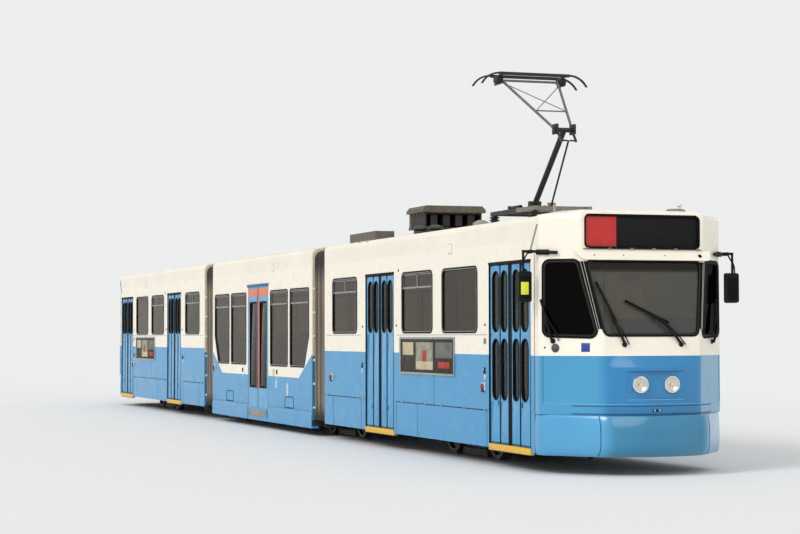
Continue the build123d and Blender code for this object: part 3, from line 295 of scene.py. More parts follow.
def shaded_face_lit_flanks(face, flank):
    """One speckled colour on an end's face and another on its chamfers, blended where |y| is 0.62 to 0.78;
    the chamfers' lighter tone is painted light from the side and the face's darker tone is in part painted
    shade.
    """
    def make(tree):
        across = calc(tree, "ABSOLUTE", axes_of(tree)["Y"])
        return mixed(tree, ramp(tree, across, 0.62, 0.78), speckle(*face)(tree), speckle(*flank)(tree))
    return make


def livery(cream, blue, line_level, slant=None, dust=0.15):
    """Cream where the height is over the line, blue below it. With a slant, the line is the
    higher of its level and a straight line through (x, z) = slant[0], slant[1]. Dust lies in
    streaks, drawn out downwards, and grows from 1.2 m down to 0.2 m."""
    def make(tree):
        axes = axes_of(tree)
        level = line_level
        if slant:
            (x0, z0), (x1, z1) = slant
            grade = (z1 - z0) / (x1 - x0)
            rise = calc(tree, "MULTIPLY_ADD", calc(tree, "ABSOLUTE", axes["X"]), grade, z0 - grade * x0)
            level = calc(tree, "MAXIMUM", rise, line_level)
        over = calc(tree, "GREATER_THAN", axes["Z"], level)
        paint = mixed(tree, over, blue(tree) if callable(blue) else linear(blue), linear(cream))
        streaks = noise(tree, stretched(tree, (2.6, 2.6, 0.30)), 1.0, 3.0, Roughness=0.45)
        film = calc(tree, "MULTIPLY", ramp(tree, streaks, 0.40, 0.80),
                    ramp(tree, axes["Z"], 1.2, 0.2, 0.03, dust))
        return mixed(tree, film, paint, linear(DUST))
    return make


orange_peel = ripple(1.6, 0.004, 0.05)
# On the ends the face's deeper blue is partly the end's own paint and partly painted shade; on the aprons the
# darker face is painted shade. On both, the lighter chamfers are painted light from the side.
END_BLUES_SHADED_AND_LIT = shaded_face_lit_flanks((FRONT_BLUE, FRONT_BLUE, 1), ("3A93BE", "3F98C2", 1))
APRON_BLUES_SHADED_AND_LIT = shaded_face_lit_flanks(("26779C", "2E80A5", 1.1, 2.0), ("4597C6", "4D9FCC", 1.1, 2.0))
DIPPED_LINE = ((2.93, 1.04), (3.83, 1.50))
finishes = {
    "side": finish("enamel_cream_over_blue", livery(CREAM, BLUE, WAIST_Z), rough(0.24, 0.36, 3),
                   bump=orange_peel, Specular_IOR_Level=0.4),
    "mid_side": finish("enamel_with_dipped_cream", livery(CREAM, BLUE, 1.04, DIPPED_LINE),
                       rough(0.24, 0.36, 3), bump=orange_peel, Specular_IOR_Level=0.4),
    "front": finish("enamel_of_the_ends", livery("F5EDDC", END_BLUES_SHADED_AND_LIT, WAIST_Z, dust=0.06),
                    rough(0.18, 0.28, 3), bump=ripple(20, 0.0005, 0.2), Coat_Weight=0.5, Coat_Roughness=0.08),
    "apron": finish("enamel_blue_apron", APRON_BLUES_SHADED_AND_LIT, rough(0.16, 0.26, 2), bump=ripple(3, 0.002, 0.3),
                    Coat_Weight=0.5, Coat_Roughness=0.08),
    "roof": finish("enamel_roof_cream", speckle("ECE4D3", "F6EEDD", 1.2), rough(0.3, 0.45, 4),
                   bump=ripple(60, 0.0008, 0.3)),
}
print("finishes", len(finishes))


# %% [markdown]
# Rubber, glass and metals. Window rubber is extruded EPDM, matt and nearly black. The panes are float glass
# with a grey tint that cuts the sun: a glass shader with a tinted colour lets the seats show. The steel
# wheels are one dark colour all round.

# %% Rubber, glass, metals and plastics
def by_screen_edge(tree, past, operation):
    """1 where |x| is past a place and |y| is less or greater than the screen's edge there, which
    lies at 0.72 + 0.17 * (z - 1.8), else 0."""
    axes = axes_of(tree)
    edge = calc(tree, "MULTIPLY_ADD", axes["Z"], 0.17, 0.72 - 0.17 * 1.8)
    at_end = calc(tree, "GREATER_THAN", calc(tree, "ABSOLUTE", axes["X"]), past)
    return calc(tree, "MULTIPLY", at_end, calc(tree, operation, calc(tree, "ABSOLUTE", axes["Y"]), edge))


def screen_film_and_painted_reflection(tree):
    """Colour of the panes' gloss: a thin brown film on the side glass, and a grey painted reflection of the
    sky on the two screens up to 2.66 m, where it fades out as the visor's painted shade."""
    # The grey on the screens is a painted reflection of the sky; its fade from 2.63 to 2.69 m is the visor's
    # painted shade.
    screen = calc(tree, "MULTIPLY", by_screen_edge(tree, 14.45, "LESS_THAN"),
                  ramp(tree, axes_of(tree)["Z"], 2.69, 2.63))
    return mixed(tree, screen, linear("1E170F"), linear("5E605F"))


def corner_panes(tree, elsewhere, there):
    """A value or colour that is there on the four corner windows and elsewhere on every other pane."""
    return mixed(tree, by_screen_edge(tree, 14.2, "GREATER_THAN"), elsewhere, there)


def pane_glass(name, tint, share, film):
    """Tinted sheet glass: clear transparency mixed with a share of gloss, whose colour is a film on it, on
    the two screens a painted reflection, so both sides can be seen through."""
    made, tree, output = new_material(name)
    tint = linear(tint)
    if callable(film):
        # On the four corner windows a near-black tint and little gloss stand for the dark cab behind them:
        # painted shade.
        tint = corner_panes(tree, tint, linear("1C1B1A"))
        share = corner_panes(tree, (share, share, share, 1), (0.10, 0.10, 0.10, 1))
    clear = add_node(tree, "ShaderNodeBsdfTransparent", None, {"Color": tint})
    bump = add_node(tree, "ShaderNodeBump", None,
                    {"Height": noise(tree, object_place(tree), 1.1, 1.0), "Distance": 0.004, "Strength": 0.3})
    gloss = add_node(tree, "ShaderNodeBsdfPrincipled", None,
                     {"Base Color": film(tree) if callable(film) else linear(film),
                      "Roughness": 0.03, "IOR": 1.52, "Normal": bump.outputs[0]})
    mix = add_node(tree, "ShaderNodeMixShader", None, {0: share, 1: clear.outputs[0], 2: gloss.outputs[0]})
    tree.links.new(mix.outputs[0], output.inputs[0])
    return made


def where_over(tree, axis, level):
    """1 where a place's X, Y or Z is over a level, else 0."""
    return calc(tree, "GREATER_THAN", axes_of(tree)[axis], level)


def split_colour(low, high, axis, level):
    """One speckled colour up to a level along an axis and another past it: each is (low, high, scale)."""
    def make(tree):
        return mixed(tree, where_over(tree, axis, level), speckle(*low)(tree), speckle(*high)(tree))
    return make


def resistor_colours(tree):
    """Olive lid over 3.852 m, grey end plate and case, the banks ahead of x = 6.90 darkened as painted shade
    inside the box, and the grey vent dome ahead of 9.0."""
    # The dark banks are painted shade inside the resistor box.
    shaded_banks = split_colour(("57524A", "6A645A", 9), ("151412", "24211E", 9), "X", 6.90)(tree)
    vent = mixed(tree, where_over(tree, "X", 9.0), shaded_banks, speckle("8A867A", "A09B8C", 9)(tree))
    return mixed(tree, where_over(tree, "Z", 3.852), vent, speckle("4C4738", "635D4B", 9)(tree))


FOLD_START, FOLD_SPAN = 3.812, 0.776


def fabric_with_painted_fold_shade(tree):
    """Brown-grey fabric with painted shade in its seven folds, and darker in three broader bands, each a
    cosine of the distance from the first frame; it gets darker from 2.75 to 3.10 m and from 0.60 to 0.36 m."""
    axes = axes_of(tree)
    along = calc(tree, "ABSOLUTE", axes["X"])
    amounts = []
    # The darkening in the seven folds is painted shade in the creases.
    for count, low, high, most in ((7, -1.0, 0.6, 0.75), (3, -0.7, 0.7, 0.62)):
        rate = 2 * np.pi * count / FOLD_SPAN
        wave = calc(tree, "COSINE", calc(tree, "MULTIPLY_ADD", along, rate, -rate * FOLD_START))
        amounts.append(ramp(tree, wave, low, high, most, 0.0))
    for start, end in ((2.75, 3.10), (0.60, 0.36)):
        amounts.append(ramp(tree, axes["Z"], start, end, 0.0, 0.92))
    colour = speckle("7C7161", "94887A", 3, 5.0, (1, 1, 0.25))(tree)
    for amount in amounts:
        colour = mixed(tree, amount, colour, linear("1D1814"))
    return colour


TUBE_COLOURS = split_colour(("211F1D", "35322E", 25), ("5A5B5B", "737475", 30), "Z", 4.83)
BASE_COLOURS = split_colour(("1B1A18", "2B2926", 12), ("6E695F", "827C71", 12), "X", 11.45)
# The end frames take the livery's cream and blue darkened as painted shade.
FRAME_COLOURS_IN_PAINTED_SHADE = split_colour(("2E6B8E", "35769B", 5), ("C4BA9C", "D2C8AC", 5), "Z", 1.46)
PEEL = (1.6, 0.004, 0.05)
SOFT_GLOSS, LENS_COAT = {"Specular_IOR_Level": 0.4}, {"Coat_Weight": 0.6}
# Key, name, colour (low, high, waves per metre), roughness (low, high, waves per metre), bump
# (waves per metre, height), and what else the shader takes
FINISHES = (
    ("rubber", "epdm_rubber_black", ("070707", "0E0E0E", 30), (0.55, 0.7, 20), (120, 0.0004),
     {"Specular_IOR_Level": 0.12}),
    ("grey_rubber", "epdm_rubber_greyed", ("26282A", "34373A", 25), (0.55, 0.7, 20), (120, 0.0004),
     {"Specular_IOR_Level": 0.3}),
    ("underframe", "bitumen_coat_dusty", ("191816", "2B2926", 6), (0.7, 0.85, 8), (40, 0.002), {}),
    ("bogie", "chassis_enamel_dusty", ("1E1D1B", "34312D", 9), (0.55, 0.75, 12), (60, 0.0015), {}),
    # The wheels' dark steel is partly their own colour and partly painted shade, for the shade under the
    # skirt.
    ("wheel", "forged_wheel_steel", ("2B2825", "45403A", 18), (0.45, 0.6, 20), (90, 0.0006),
     {"metallic": 0.4}),
    ("cab", "moulded_grey_abs", ("3B3F44", "464A50", 90), (0.45, 0.6, 30), (400, 0.0003), {}),
    ("plastic", "moulded_black_abs", ("0A0A0A", "121313", 80), (0.4, 0.55, 30), (200, 0.0003),
     {"Specular_IOR_Level": 0.18}),
    ("roof_gear", "roof_gear_weathered_enamel", resistor_colours, (0.55, 0.7, 10), (50, 0.0012), {}),
    ("grey_enamel", "cast_grey_enamel", ("77766F", "8A8880", 12), (0.5, 0.65, 10), (50, 0.0008), {}),
    ("disc", "insulator_disc_dark", ("2E2C29", "45423D", 14), (0.4, 0.6, 10), (50, 0.0008), {}),
    ("arm_dark", "pantograph_black_enamel", ("0D0C0B", "191715", 9), (0.45, 0.6, 9), (120, 0.0005), {}),
    ("arm_grey", "pantograph_drawn_tube", TUBE_COLOURS, (0.35, 0.5, 25), (140, 0.0004), {"metallic": 0.4}),
    ("base_frame", "pantograph_base_enamel", BASE_COLOURS, (0.5, 0.65, 10), (60, 0.0008), {}),
    ("steel", "satin_stainless_steel", ("9A9DA0", "B4B7BA", 60, 4.0, (1, 1, 8)), (0.22, 0.34, 30), None,
     {"metallic": 1.0}),
    ("seat", "moquette_seat_cover", ("24466E", "6E86A4", 60, 6.0), 0.9, (240, 0.0012), {"Sheen_Weight": 0.4}),
    ("seat_shell", "moulded_seat_shell", ("585D64", "656A71", 40), (0.4, 0.55, 20), (160, 0.0003), {}),
    ("bellows", "coated_bellows_fabric", fabric_with_painted_fold_shade, (0.65, 0.8, 8), (120, 0.0006), {}),
    ("hood", "neoprene_hood_black", ("12100E", "201D1A", 8), (0.5, 0.65, 10), (90, 0.0008), {}),
    ("yellow", "step_edge_yellow", ("D9A92B", "EBC04A", 14, 4.0, (1, 1, 4)), (0.4, 0.6, 20),
     (150, 0.0006), {}),
    ("door_blue", "door_enamel_blue", ("3F93C4", "4A9ECE", 2), (0.2, 0.3, 4), PEEL, SOFT_GLOSS),
    ("orange", "door_enamel_orange", ("D8692F", "E47A3C", 6), (0.3, 0.42, 6), PEEL, {}),
    ("sign_red", "sign_enamel_red", ("B4201D", "C42A24", 5), (0.3, 0.4, 6), PEEL, {}),
    ("sign_black", "sign_matt_black", ("070808", "0D0F0E", 40), (0.5, 0.65, 20), (120, 0.0003),
     {"Specular_IOR_Level": 0.2}),
    ("strip_brown", "door_strip_red_brown", ("6E2A20", "7C3428", 12), (0.35, 0.5, 20), PEEL, {}),
    ("lemon", "card_lemon_yellow", ("D9E02A", "E6EC3C", 20), (0.4, 0.55, 15), (90, 0.0003), {}),
    ("groove", "enamel_blue_in_shadow", ("175A87", "1C6392", 5), 0.5, (60, 0.0004), {}),
    ("highlight_blue", "enamel_blue_worn_edge", ("6FB4DB", "7FBFE2", 6), 0.35, PEEL, {}),
    ("chrome", "polished_reflector", ("DCDEE0", "F0F1F2", 40), 0.08, None, {"metallic": 1.0}),
    ("red_lens", "moulded_red_lens", ("6F130D", "85190F", 60), (0.15, 0.25, 40), (300, 0.0006), LENS_COAT),
    ("amber_lens", "moulded_amber_lens", ("B4601C", "C87428", 60), (0.15, 0.25, 40),
     (300, 0.0006), LENS_COAT),
    ("white", "plate_enamel_white", ("DADBD8", "E9EAE7", 20), (0.35, 0.5, 15), (90, 0.0004), {}),
    ("plate_blue", "plate_enamel_deep_blue", ("1F3A82", "294795", 25), (0.35, 0.5, 15), (90, 0.0004), {}),
    ("lining", "melamine_wall_lining", ("B9B4A6", "C6C1B4", 50), (0.4, 0.55, 12), (150, 0.0004), {}),
    ("aluminium", "window_frame_aluminium_dull", ("8B8D8C", "A2A3A0", 30), (0.4, 0.55, 20), (90, 0.0003),
     {"metallic": 0.5}),
    ("sill_plate", "sill_plate_scuffed", ("857F74", "A39C8E", 12), (0.4, 0.6, 15), (60, 0.0006),
     {"metallic": 0.2}),
    ("end_frame", "enamel_of_the_end_frames", FRAME_COLOURS_IN_PAINTED_SHADE, (0.4, 0.55, 8), PEEL, {}),
    ("vent_rim", "vent_rim_sand", ("B9AB84", "C9BC98", 20), 0.5, (90, 0.0003), {}),
    ("card_sand", "blank_card_sand", ("C9B98A", "D6C89C", 20), 0.5, (90, 0.0003), {}),
    ("plate_grey", "blank_plate_pale_blue", ("B9CDD9", "C8D8E1", 20), 0.5, (90, 0.0003), {}),
    ("lamp_cover", "opal_lamp_cover", ("F2F1EA", "FBFAF5", 20), (0.3, 0.4, 10), None,
     {"Emission_Color": linear("FFF6E4"), "Emission_Strength": 0.8}),
    ("pole", "pole_enamel_yellow", ("D8B03A", "E6C452", 30), (0.25, 0.4, 20), (80, 0.0003),
     {"Coat_Weight": 0.3}),
    ("carbon", "carbon_strip_worn", ("3A352D", "4C463B", 20), 0.45, (90, 0.0004), {}),
)
POSTER_PRINTS = (("poster_brown", "2E2723", "3E3630"), ("poster_sand", "B9A88A", "CDBE9F"),
                 ("poster_green", "7F8272", "A5A58F"), ("poster_grey", "5C5F5E", "74766F"),
                 ("poster_red", "A93428", "BB4234"))
PRINTED = tuple((key, key + "_print", (low, high, 7), 0.6, (60, 0.0003), {"Specular_IOR_Level": 0.2})
                for key, low, high in POSTER_PRINTS)
for key, name, colour, gloss, waves, more in FINISHES + PRINTED:
    finishes[key] = finish(name, colour if callable(colour) else speckle(*colour),
                           rough(*gloss) if isinstance(gloss, tuple) else gloss,
                           bump=ripple(*waves) if waves else None, **more)
finishes["glass"] = pane_glass("float_glass_bronze_tint", "DDD0B0", 0.46, screen_film_and_painted_reflection)
finishes["headlamp_lens"] = pane_glass("pressed_lamp_glass", "FBF8F0", 0.16, "D8D2C4")
print("finishes", len(finishes))


# %% [markdown]
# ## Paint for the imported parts
# The frame's own parts keep their shape. A table gives each its finish; a name that ends
# in a star stands for every node that starts so.

# %% Put the finishes on the nodes
NODE_FINISHES = (
    ("side", "front_sides rear_sides"), ("mid_side", "mid_sides"), ("front", "nose tail"),
    ("apron", "*_bumper"), ("roof", "*_roof"), ("underframe", "*_floor"), ("glass", "*_glass"),
    ("door_blue", "mid_door *_leaf"), ("bellows", "*_bellows"), ("seat_shell", "*_seats"),
    ("cab", "cab_fittings"), ("chrome", "headlamps"), ("red_lens", "tail_lamps"), ("plastic", "mirrors"),
    ("roof_gear", "roof_gear"), ("base_frame", "pantograph_base"), ("arm_grey", "pantograph_upper_arm"),
    ("arm_dark", "pantograph_lower_arm pantograph_rod pantograph_head"),
    ("bogie", "bogie_*"), ("wheel", "wheelset_*"),
)
painted = set()
for key, patterns in NODE_FINISHES:
    for name in nodes:
        if any(fnmatch(name, pattern) for pattern in patterns.split()):
            for slot in nodes[name].material_slots:
                slot.material = finishes[key]
            painted.add(name)
print("painted", len(painted), "left", sorted(set(nodes) - painted))


# %% [markdown]
# ## Surfaces from numbers
# Almost every trim part of a tram is one of three things: a profile carried round a closed
# outline (a window rubber), a pressed plate with softened edges, or a tube. So three
# functions of numpy arrays make nearly all of them. An outline is a polygon whose corners
# are arcs; moved inwards by an inset it keeps its count of points, and a row of such
# outlines, each at its own depth, is already the grid of a solid.

# %% Outlines and grids
def outline(corners, radii, inset=0.0, steps=6):
    """A closed outline with round corners, counter-clockwise, as (n * steps, 2). A corner moves
    along its bisector by inset / cos(half the bend); its arc is centre + radius * (cos a, sin a),
    with a running from one edge's outward normal to the next one's."""
    corners = np.asarray(corners, float)
    runs = np.stack([corners - np.roll(corners, 1, 0), np.roll(corners, -1, 0) - corners])
    runs /= np.linalg.norm(runs, axis=2, keepdims=True)
    inward = np.stack([-runs[..., 1], runs[..., 0]], -1)
    bisector = inward.sum(0) / (1 + (inward[0] * inward[1]).sum(1, keepdims=True))
    radii = np.maximum(np.broadcast_to(np.asarray(radii, float), len(corners)) - inset, 0.0004)[:, None]
    start = np.arctan2(-inward[0, :, 1], -inward[0, :, 0])
    end = np.arctan2(-inward[1, :, 1], -inward[1, :, 0])
    angle = start[:, None] + ((end - start) % (2 * np.pi))[:, None] * np.linspace(0, 1, steps)
    centre = corners + bisector * (inset + radii)
    arcs = centre[:, None, :] + radii[:, None, :] * np.stack([np.cos(angle), np.sin(angle)], -1)
    return arcs.reshape(-1, 2)


def grid(points, wrap_rows=False, caps=False):
    """Vertices and faces of a grid of rings (rings, points, 3): each ring is closed; wrap_rows
    joins the last ring to the first, and caps closes the first and last with one face each."""
    rings, count = points.shape[:2]
    index = np.arange(rings * count).reshape(rings, count)
    rows = np.vstack([index, index[:1]]) if wrap_rows else index
    rows = np.hstack([rows, rows[:, :1]])
    quads = np.stack([rows[:-1, :-1], rows[:-1, 1:], rows[1:, 1:], rows[1:, :-1]], -1).reshape(-1, 4)
    faces = quads.tolist()
    if caps:
        faces += [index[0, ::-1].tolist(), index[-1].tolist()]
    return points.reshape(-1, 3), faces


def sheet_grid(points):
    """Vertices and faces of an open grid (rows, columns, 3)."""
    rows, count = points.shape[:2]
    index = np.arange(rows * count).reshape(rows, count)
    quads = np.stack([index[:-1, :-1], index[:-1, 1:], index[1:, 1:], index[1:, :-1]], -1).reshape(-1, 4)
    return points.reshape(-1, 3), quads.tolist()


def make_piece(name, body, parts, stands_for=(), crease=35):
    """One object from parts ((vertices, faces), finish name); its faces are turned outwards and its edges are
    sharp where they bend by more than crease degrees. With no body, it is left unattached."""
    keys = list(dict.fromkeys(key for _, key in parts))
    starts = np.cumsum([0] + [len(points) for (points, _), _ in parts])
    mesh = bpy.data.meshes.new(name)
    faces = [tuple(i + start for i in face) for ((_, part), _), start in zip(parts, starts) for face in part]
    mesh.from_pydata(np.concatenate([points for (points, _), _ in parts]).tolist(), [], faces)
    for key in keys:
        mesh.materials.append(finishes[key])
    slots = np.concatenate([np.full(len(part), keys.index(key)) for (_, part), key in parts])
    mesh.polygons.foreach_set("material_index", slots.astype(np.int32))
    work = bmesh.new()
    work.from_mesh(mesh)
    bmesh.ops.recalc_face_normals(work, faces=work.faces)
    work.to_mesh(mesh)
    work.free()
    mesh.shade_smooth()
    mesh.set_sharp_from_angle(angle=np.radians(crease))
    made = bpy.data.objects.new(name, mesh)
    bpy.context.scene.collection.objects.link(made)
    if body:
        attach(made, body)
    if stands_for:
        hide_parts(*stands_for)
    print(name, len(mesh.polygons), "faces")
    return made


# %% Profiles, plates, tubes and turned parts
HALF_WIDTH = 1.325


def on_wall(side):
    """Puts an outline of (x, z) on a side wall; depth is how far it stands out of the wall."""
    def place(points, depth):
        y = np.full(len(points), side * (HALF_WIDTH + depth))
        return np.stack([points[:, 0], y, points[:, 1]], -1)
    return place


def band(corners, radii, place, profile, steps=6):
    """A closed profile of (inset, depth) points carried round an outline."""
    return grid(np.stack([place(outline(corners, radii, inset, steps), depth) for inset, depth in profile]),
                wrap_rows=True)


def plate(corners, radii, place, back, front, edge=0.002, steps=4):
    """A plate from depth back to depth front, with its front edge rounded off."""
    rings = ((0, back), (0, front - edge), (0.3 * edge, front - 0.3 * edge), (edge, front))
    return grid(np.stack([place(outline(corners, radii, inset, steps), depth) for inset, depth in rings]),
                caps=True)


def rectangle(x0, z0, x1, z1):
    """The corners of an upright rectangle, counter-clockwise."""
    x0, x1 = sorted((x0, x1))
    return ((x0, z0), (x1, z0), (x1, z1), (x0, z1))


def pierced(place, sheet, hole, back):
    """A sheet with one opening: both outlines at depths back and 0, joined as a ring."""
    rings = [place(sheet, back), place(sheet, 0.0), place(hole, 0.0), place(hole, back)]
    return grid(np.stack(rings), wrap_rows=True)


def block(low, high, edge=0.004):
    """A box with softened edges: rings of a round-cornered rectangle, drawn in at both ends."""
    low, high = np.minimum(low, high), np.maximum(low, high)
    corners = rectangle(low[0], low[1], high[0], high[1])
    rings = ((edge, low[2]), (0.3 * edge, low[2] + 0.3 * edge), (0, low[2] + edge),
             (0, high[2] - edge), (0.3 * edge, high[2] - 0.3 * edge), (edge, high[2]))
    flat = [np.column_stack([outline(corners, edge * 1.5, inset, 3), np.full(12, z)]) for inset, z in rings]
    return grid(np.stack(flat), caps=True)


def wall_block(x, side, z, half_x, half_z, out, edge, inner=1.324):
    """A block on a side wall, from inner to out across the tram."""
    low, high = sorted((side * inner, side * out))
    return block((x - half_x, low, z - half_z), (x + half_x, high, z + half_z), edge)


def tube(path, radius, sides=10, start_cap=True):
    """A round tube along a path (n, 3): at each point a circle across the path's direction,
    centre + radius * (side * cos a + top * sin a). radius may be one value or one per point."""
    path = np.asarray(path, float)
    along = np.gradient(path, axis=0)
    along /= np.linalg.norm(along, axis=1, keepdims=True)
    spread = np.abs(along).mean(0)
    across = np.cross(along, np.eye(3)[np.argmin(spread)])
    across /= np.linalg.norm(across, axis=1, keepdims=True)
    top = np.cross(along, across)
    angle = np.linspace(0, 2 * np.pi, sides, endpoint=False)[None, :, None]
    radius = np.broadcast_to(radius, len(path))[:, None, None]
    rings = path[:, None, :] + radius * (across[:, None, :] * np.cos(angle) + top[:, None, :] * np.sin(angle))
    return grid(rings, caps=start_cap)


def bend(points, count=24):
    """A smooth path through a few points: a Catmull-Rom curve, each piece a cubic of its four
    nearest points."""
    points = np.asarray(points, float)
    padded = np.vstack([2 * points[0] - points[1], points, 2 * points[-1] - points[-2]])
    place = np.linspace(0, len(points) - 1, count)
    piece = np.minimum(place.astype(int), len(points) - 2)
    t = (place - piece)[:, None]
    p0, p1, p2, p3 = (padded[piece + i] for i in range(4))
    return 0.5 * (2 * p1 + (p2 - p0) * t + (2 * p0 - 5 * p1 + 4 * p2 - p3) * t**2
                  + (3 * p1 - p0 - 3 * p2 + p3) * t**3)


def turned(profile, centre, axis, sides=28):
    """A turned part: each (distance along the axis, radius) of the profile is swept round the axis."""
    profile = np.asarray(profile, float)
    axis = np.asarray(axis, float) / np.linalg.norm(axis)
    first = np.cross(axis, (0, 0, 1) if abs(axis[2]) < 0.9 else (1, 0, 0))
    first /= np.linalg.norm(first)
    second = np.cross(axis, first)
    angle = np.linspace(0, 2 * np.pi, sides, endpoint=False)[None, :, None]
    reach = np.maximum(profile[:, 1], 0.0003)[:, None, None]
    rings = (np.asarray(centre, float) + profile[:, 0][:, None, None] * axis
             + reach * (first * np.cos(angle) + second * np.sin(angle)))
    return grid(rings, caps=True)


# %% [markdown]
# ## Window rubbers and sliding panes
# Each pane sits in a rubber profile that laps over the wall outside and over the glass
# inside, with a lighter lock strip pressed into it. Where the top of a window slides, an
# aluminium bar crosses the pane, and the two upper panes meet at a short post.

# %% Window tables: edges along the tram, whether the top slides, whether a corner is cut
OUTER_WINDOWS = ((5.090, 6.480, True), (8.820, 10.220, True), (10.660, 12.100, False))
LEFT_DOOR_WINDOW = (6.960, 8.410, True)
MID_WINDOWS = ((0.940, 2.170, False), (2.350, 3.600, True))
OUTER_SILL, OUTER_TOP, MID_SILL, MID_TOP = 1.875, 2.795, 1.255, 2.685
OUTER_SLIDE, MID_SLIDE = 2.565, 2.43
ENDS = (("front", 1), ("rear", -1))
RUBBER = ((-0.022, 0.0005), (-0.022, 0.006), (-0.006, 0.010), (0.016, 0.008), (0.021, 0.002),
          (0.023, -0.0135), (0.004, -0.0135), (0.004, 0.0005))
LOCK_STRIP = ((0.003, 0.006), (0.003, 0.0108), (0.014, 0.0096), (0.014, 0.005))
SASH = ((0.000, -0.0135), (0.000, -0.006), (0.014, -0.006), (0.014, -0.0135))


def cut_corners(direction, x0, x1):
    """The end window of the middle section, whose lower outer corner is cut on a slant."""
    points = [(x0, MID_SILL), (x1 - 0.310, MID_SILL), (x1, MID_SILL + 0.560), (x1, MID_TOP), (x0, MID_TOP)]
    return points if direction > 0 else [(-x, z) for x, z in points][::-1]


def window_trim(corners, radius, side, slide_z=None, post=False):
    """The rubber, lock strip and sliding sashes of one window, as parts for make_piece."""
    place = on_wall(side)
    parts = [(band(corners, radius, place, RUBBER), "rubber"),
             (band(corners, radius, place, LOCK_STRIP), "aluminium")]
    if slide_z:
        lap = RUBBER[5][0]
        x0, x1 = min(x for x, _ in corners) + lap, max(x for x, _ in corners) - lap
        top = max(z for _, z in corners) - lap
        for left, right in ((x0, (x0 + x1) / 2), ((x0 + x1) / 2, x1)) if post else ((x0, x1),):
            parts.append((band(rectangle(left, slide_z, right, top), 0.05, place, SASH, 4), "aluminium"))
        rail = rectangle(x0, slide_z - 0.014, x1, slide_z + 0.004)
        parts.append((plate(rail, 0.003, place, -0.0135, 0.0), "aluminium"))
    return parts


# %% The windows of each section
for section, direction in ENDS:
    parts = []
    for side in (-1, 1):
        for x0, x1, slides in OUTER_WINDOWS + ((LEFT_DOOR_WINDOW,) if side > 0 else ()):
            corners = rectangle(direction * x0, OUTER_SILL, direction * x1, OUTER_TOP)
            parts += window_trim(corners, 0.090, side, OUTER_SLIDE if slides else None, post=True)
    make_piece(section + "_window_rubbers", section + "_section", parts)

parts = []
for side in (-1, 1):
    for direction in (-1, 1):
        for x0, x1, cut in MID_WINDOWS:
            corners = (cut_corners(direction, x0, x1) if cut
                       else rectangle(direction * x0, MID_SILL, direction * x1, MID_TOP))
            parts += window_trim(corners, 0.055, side, MID_SLIDE)
make_piece("middle_window_rubbers", "middle_section", parts)


# %% [markdown]
# ## Folding door leaves
# A leaf is a pressed aluminium panel with oblong panes in rubber, and a rubber nose down
# each edge. Each opening is made as a ring: the panel's rectangle outside, the oblong
# inside, which keeps the panel in one smooth sheet without cutting holes. The leaves of a
# pair fold about one hinge, so every leaf is a piece of its own on its own body.

# %% Leaf sizes and one leaf
LEAF_OUT, LEAF_LOW, LEAF_TOP = -0.013, 0.331, 2.800
UPPER_PANE, LOWER_PANE = (1.872, 2.708), (0.935, 1.770)
PANE_RUBBER = ((-0.010, 0.0), (-0.010, 0.005), (0.0, 0.007), (0.010, 0.004), (0.011, -0.010), (0.0, -0.010))


def on_leaf(points, depth):
    """Outline of (x, z) on the outer face of a folding leaf."""
    return on_wall(-1)(points, LEAF_OUT + depth)


def leaf_parts(x0, x1, panes, dark_edges, margins):
    """A leaf between x0 and x1: panel rings round the panes, which lie margins[0] and margins[1] from
    its edges, rubber, glass and edge rubbers."""
    breaks = [LEAF_LOW] + [z for z0, z1 in panes for z in (z0 - 0.03, z1 + 0.03)] + [LEAF_TOP]
    parts = []
    for low, high in zip(breaks[0::2], breaks[1::2]):
        parts.append((plate(rectangle(x0, low, x1, high), 0.002, on_leaf, -0.030, 0.0, 0.0008), "door_blue"))
    arc = (x1 - x0 - sum(margins)) / 2 - 0.001
    for z0, z1 in panes:
        slot = rectangle(x0 + margins[0], z0, x1 - margins[1], z1)
        sheet = outline(rectangle(x0, z0 - 0.03, x1, z1 + 0.03), 0.0005, 0, 8)
        parts += [(pierced(on_leaf, sheet, outline(slot, arc, 0, 8), -0.030), "door_blue"),
                  (band(slot, arc, on_leaf, PANE_RUBBER, 8), "rubber"),
                  (plate(slot, arc, on_leaf, -0.018, -0.012, 0.0005, 8), "glass")]
    for edge, width in dark_edges:
        strip = rectangle(edge, LEAF_LOW, edge + (width if edge == x0 else -width), LEAF_TOP)
        parts.append((plate(strip, 0.003, on_leaf, -0.031, 0.004), "rubber"))
    return parts


# %% All sixteen leaves
for node_name in sorted(name for name in nodes if name.endswith("_leaf")):
    low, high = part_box(node_name)
    x0, x1 = low[0], high[0]
    panes = (LOWER_PANE, UPPER_PANE) if node_name.startswith("front_end") else (UPPER_PANE,)
    at_post = node_name.endswith("post_leaf")
    outward = np.sign(x0) * (1 if "_a_" in node_name else -1)
    # The free leaf's nose rubber closes the doorway's middle; the other edges are thin seals
    near, far = (x0, x1) if outward > 0 else (x1, x0)
    edges = ((near, 0.016), (far, 0.014)) if at_post else ((near, 0.014), (far, 0.058))
    margins = (0.090, 0.040) if at_post else (0.040, 0.100)
    parts = leaf_parts(x0, x1, panes, edges, margins if near == x0 else margins[::-1])
    if at_post:
        grip = far - np.sign(far - near) * 0.062
        half, foot, top = (0.014, 0.845, 0.935) if len(panes) == 2 else (0.012, 0.62, 0.70)
        slot = rectangle(grip - half, foot, grip + half, top)
        parts.append((plate(slot, 0.011, on_leaf, -0.001, 0.0025), "rubber"))
    make_piece("dressed_" + node_name, node_name, parts, stands_for=(node_name,))


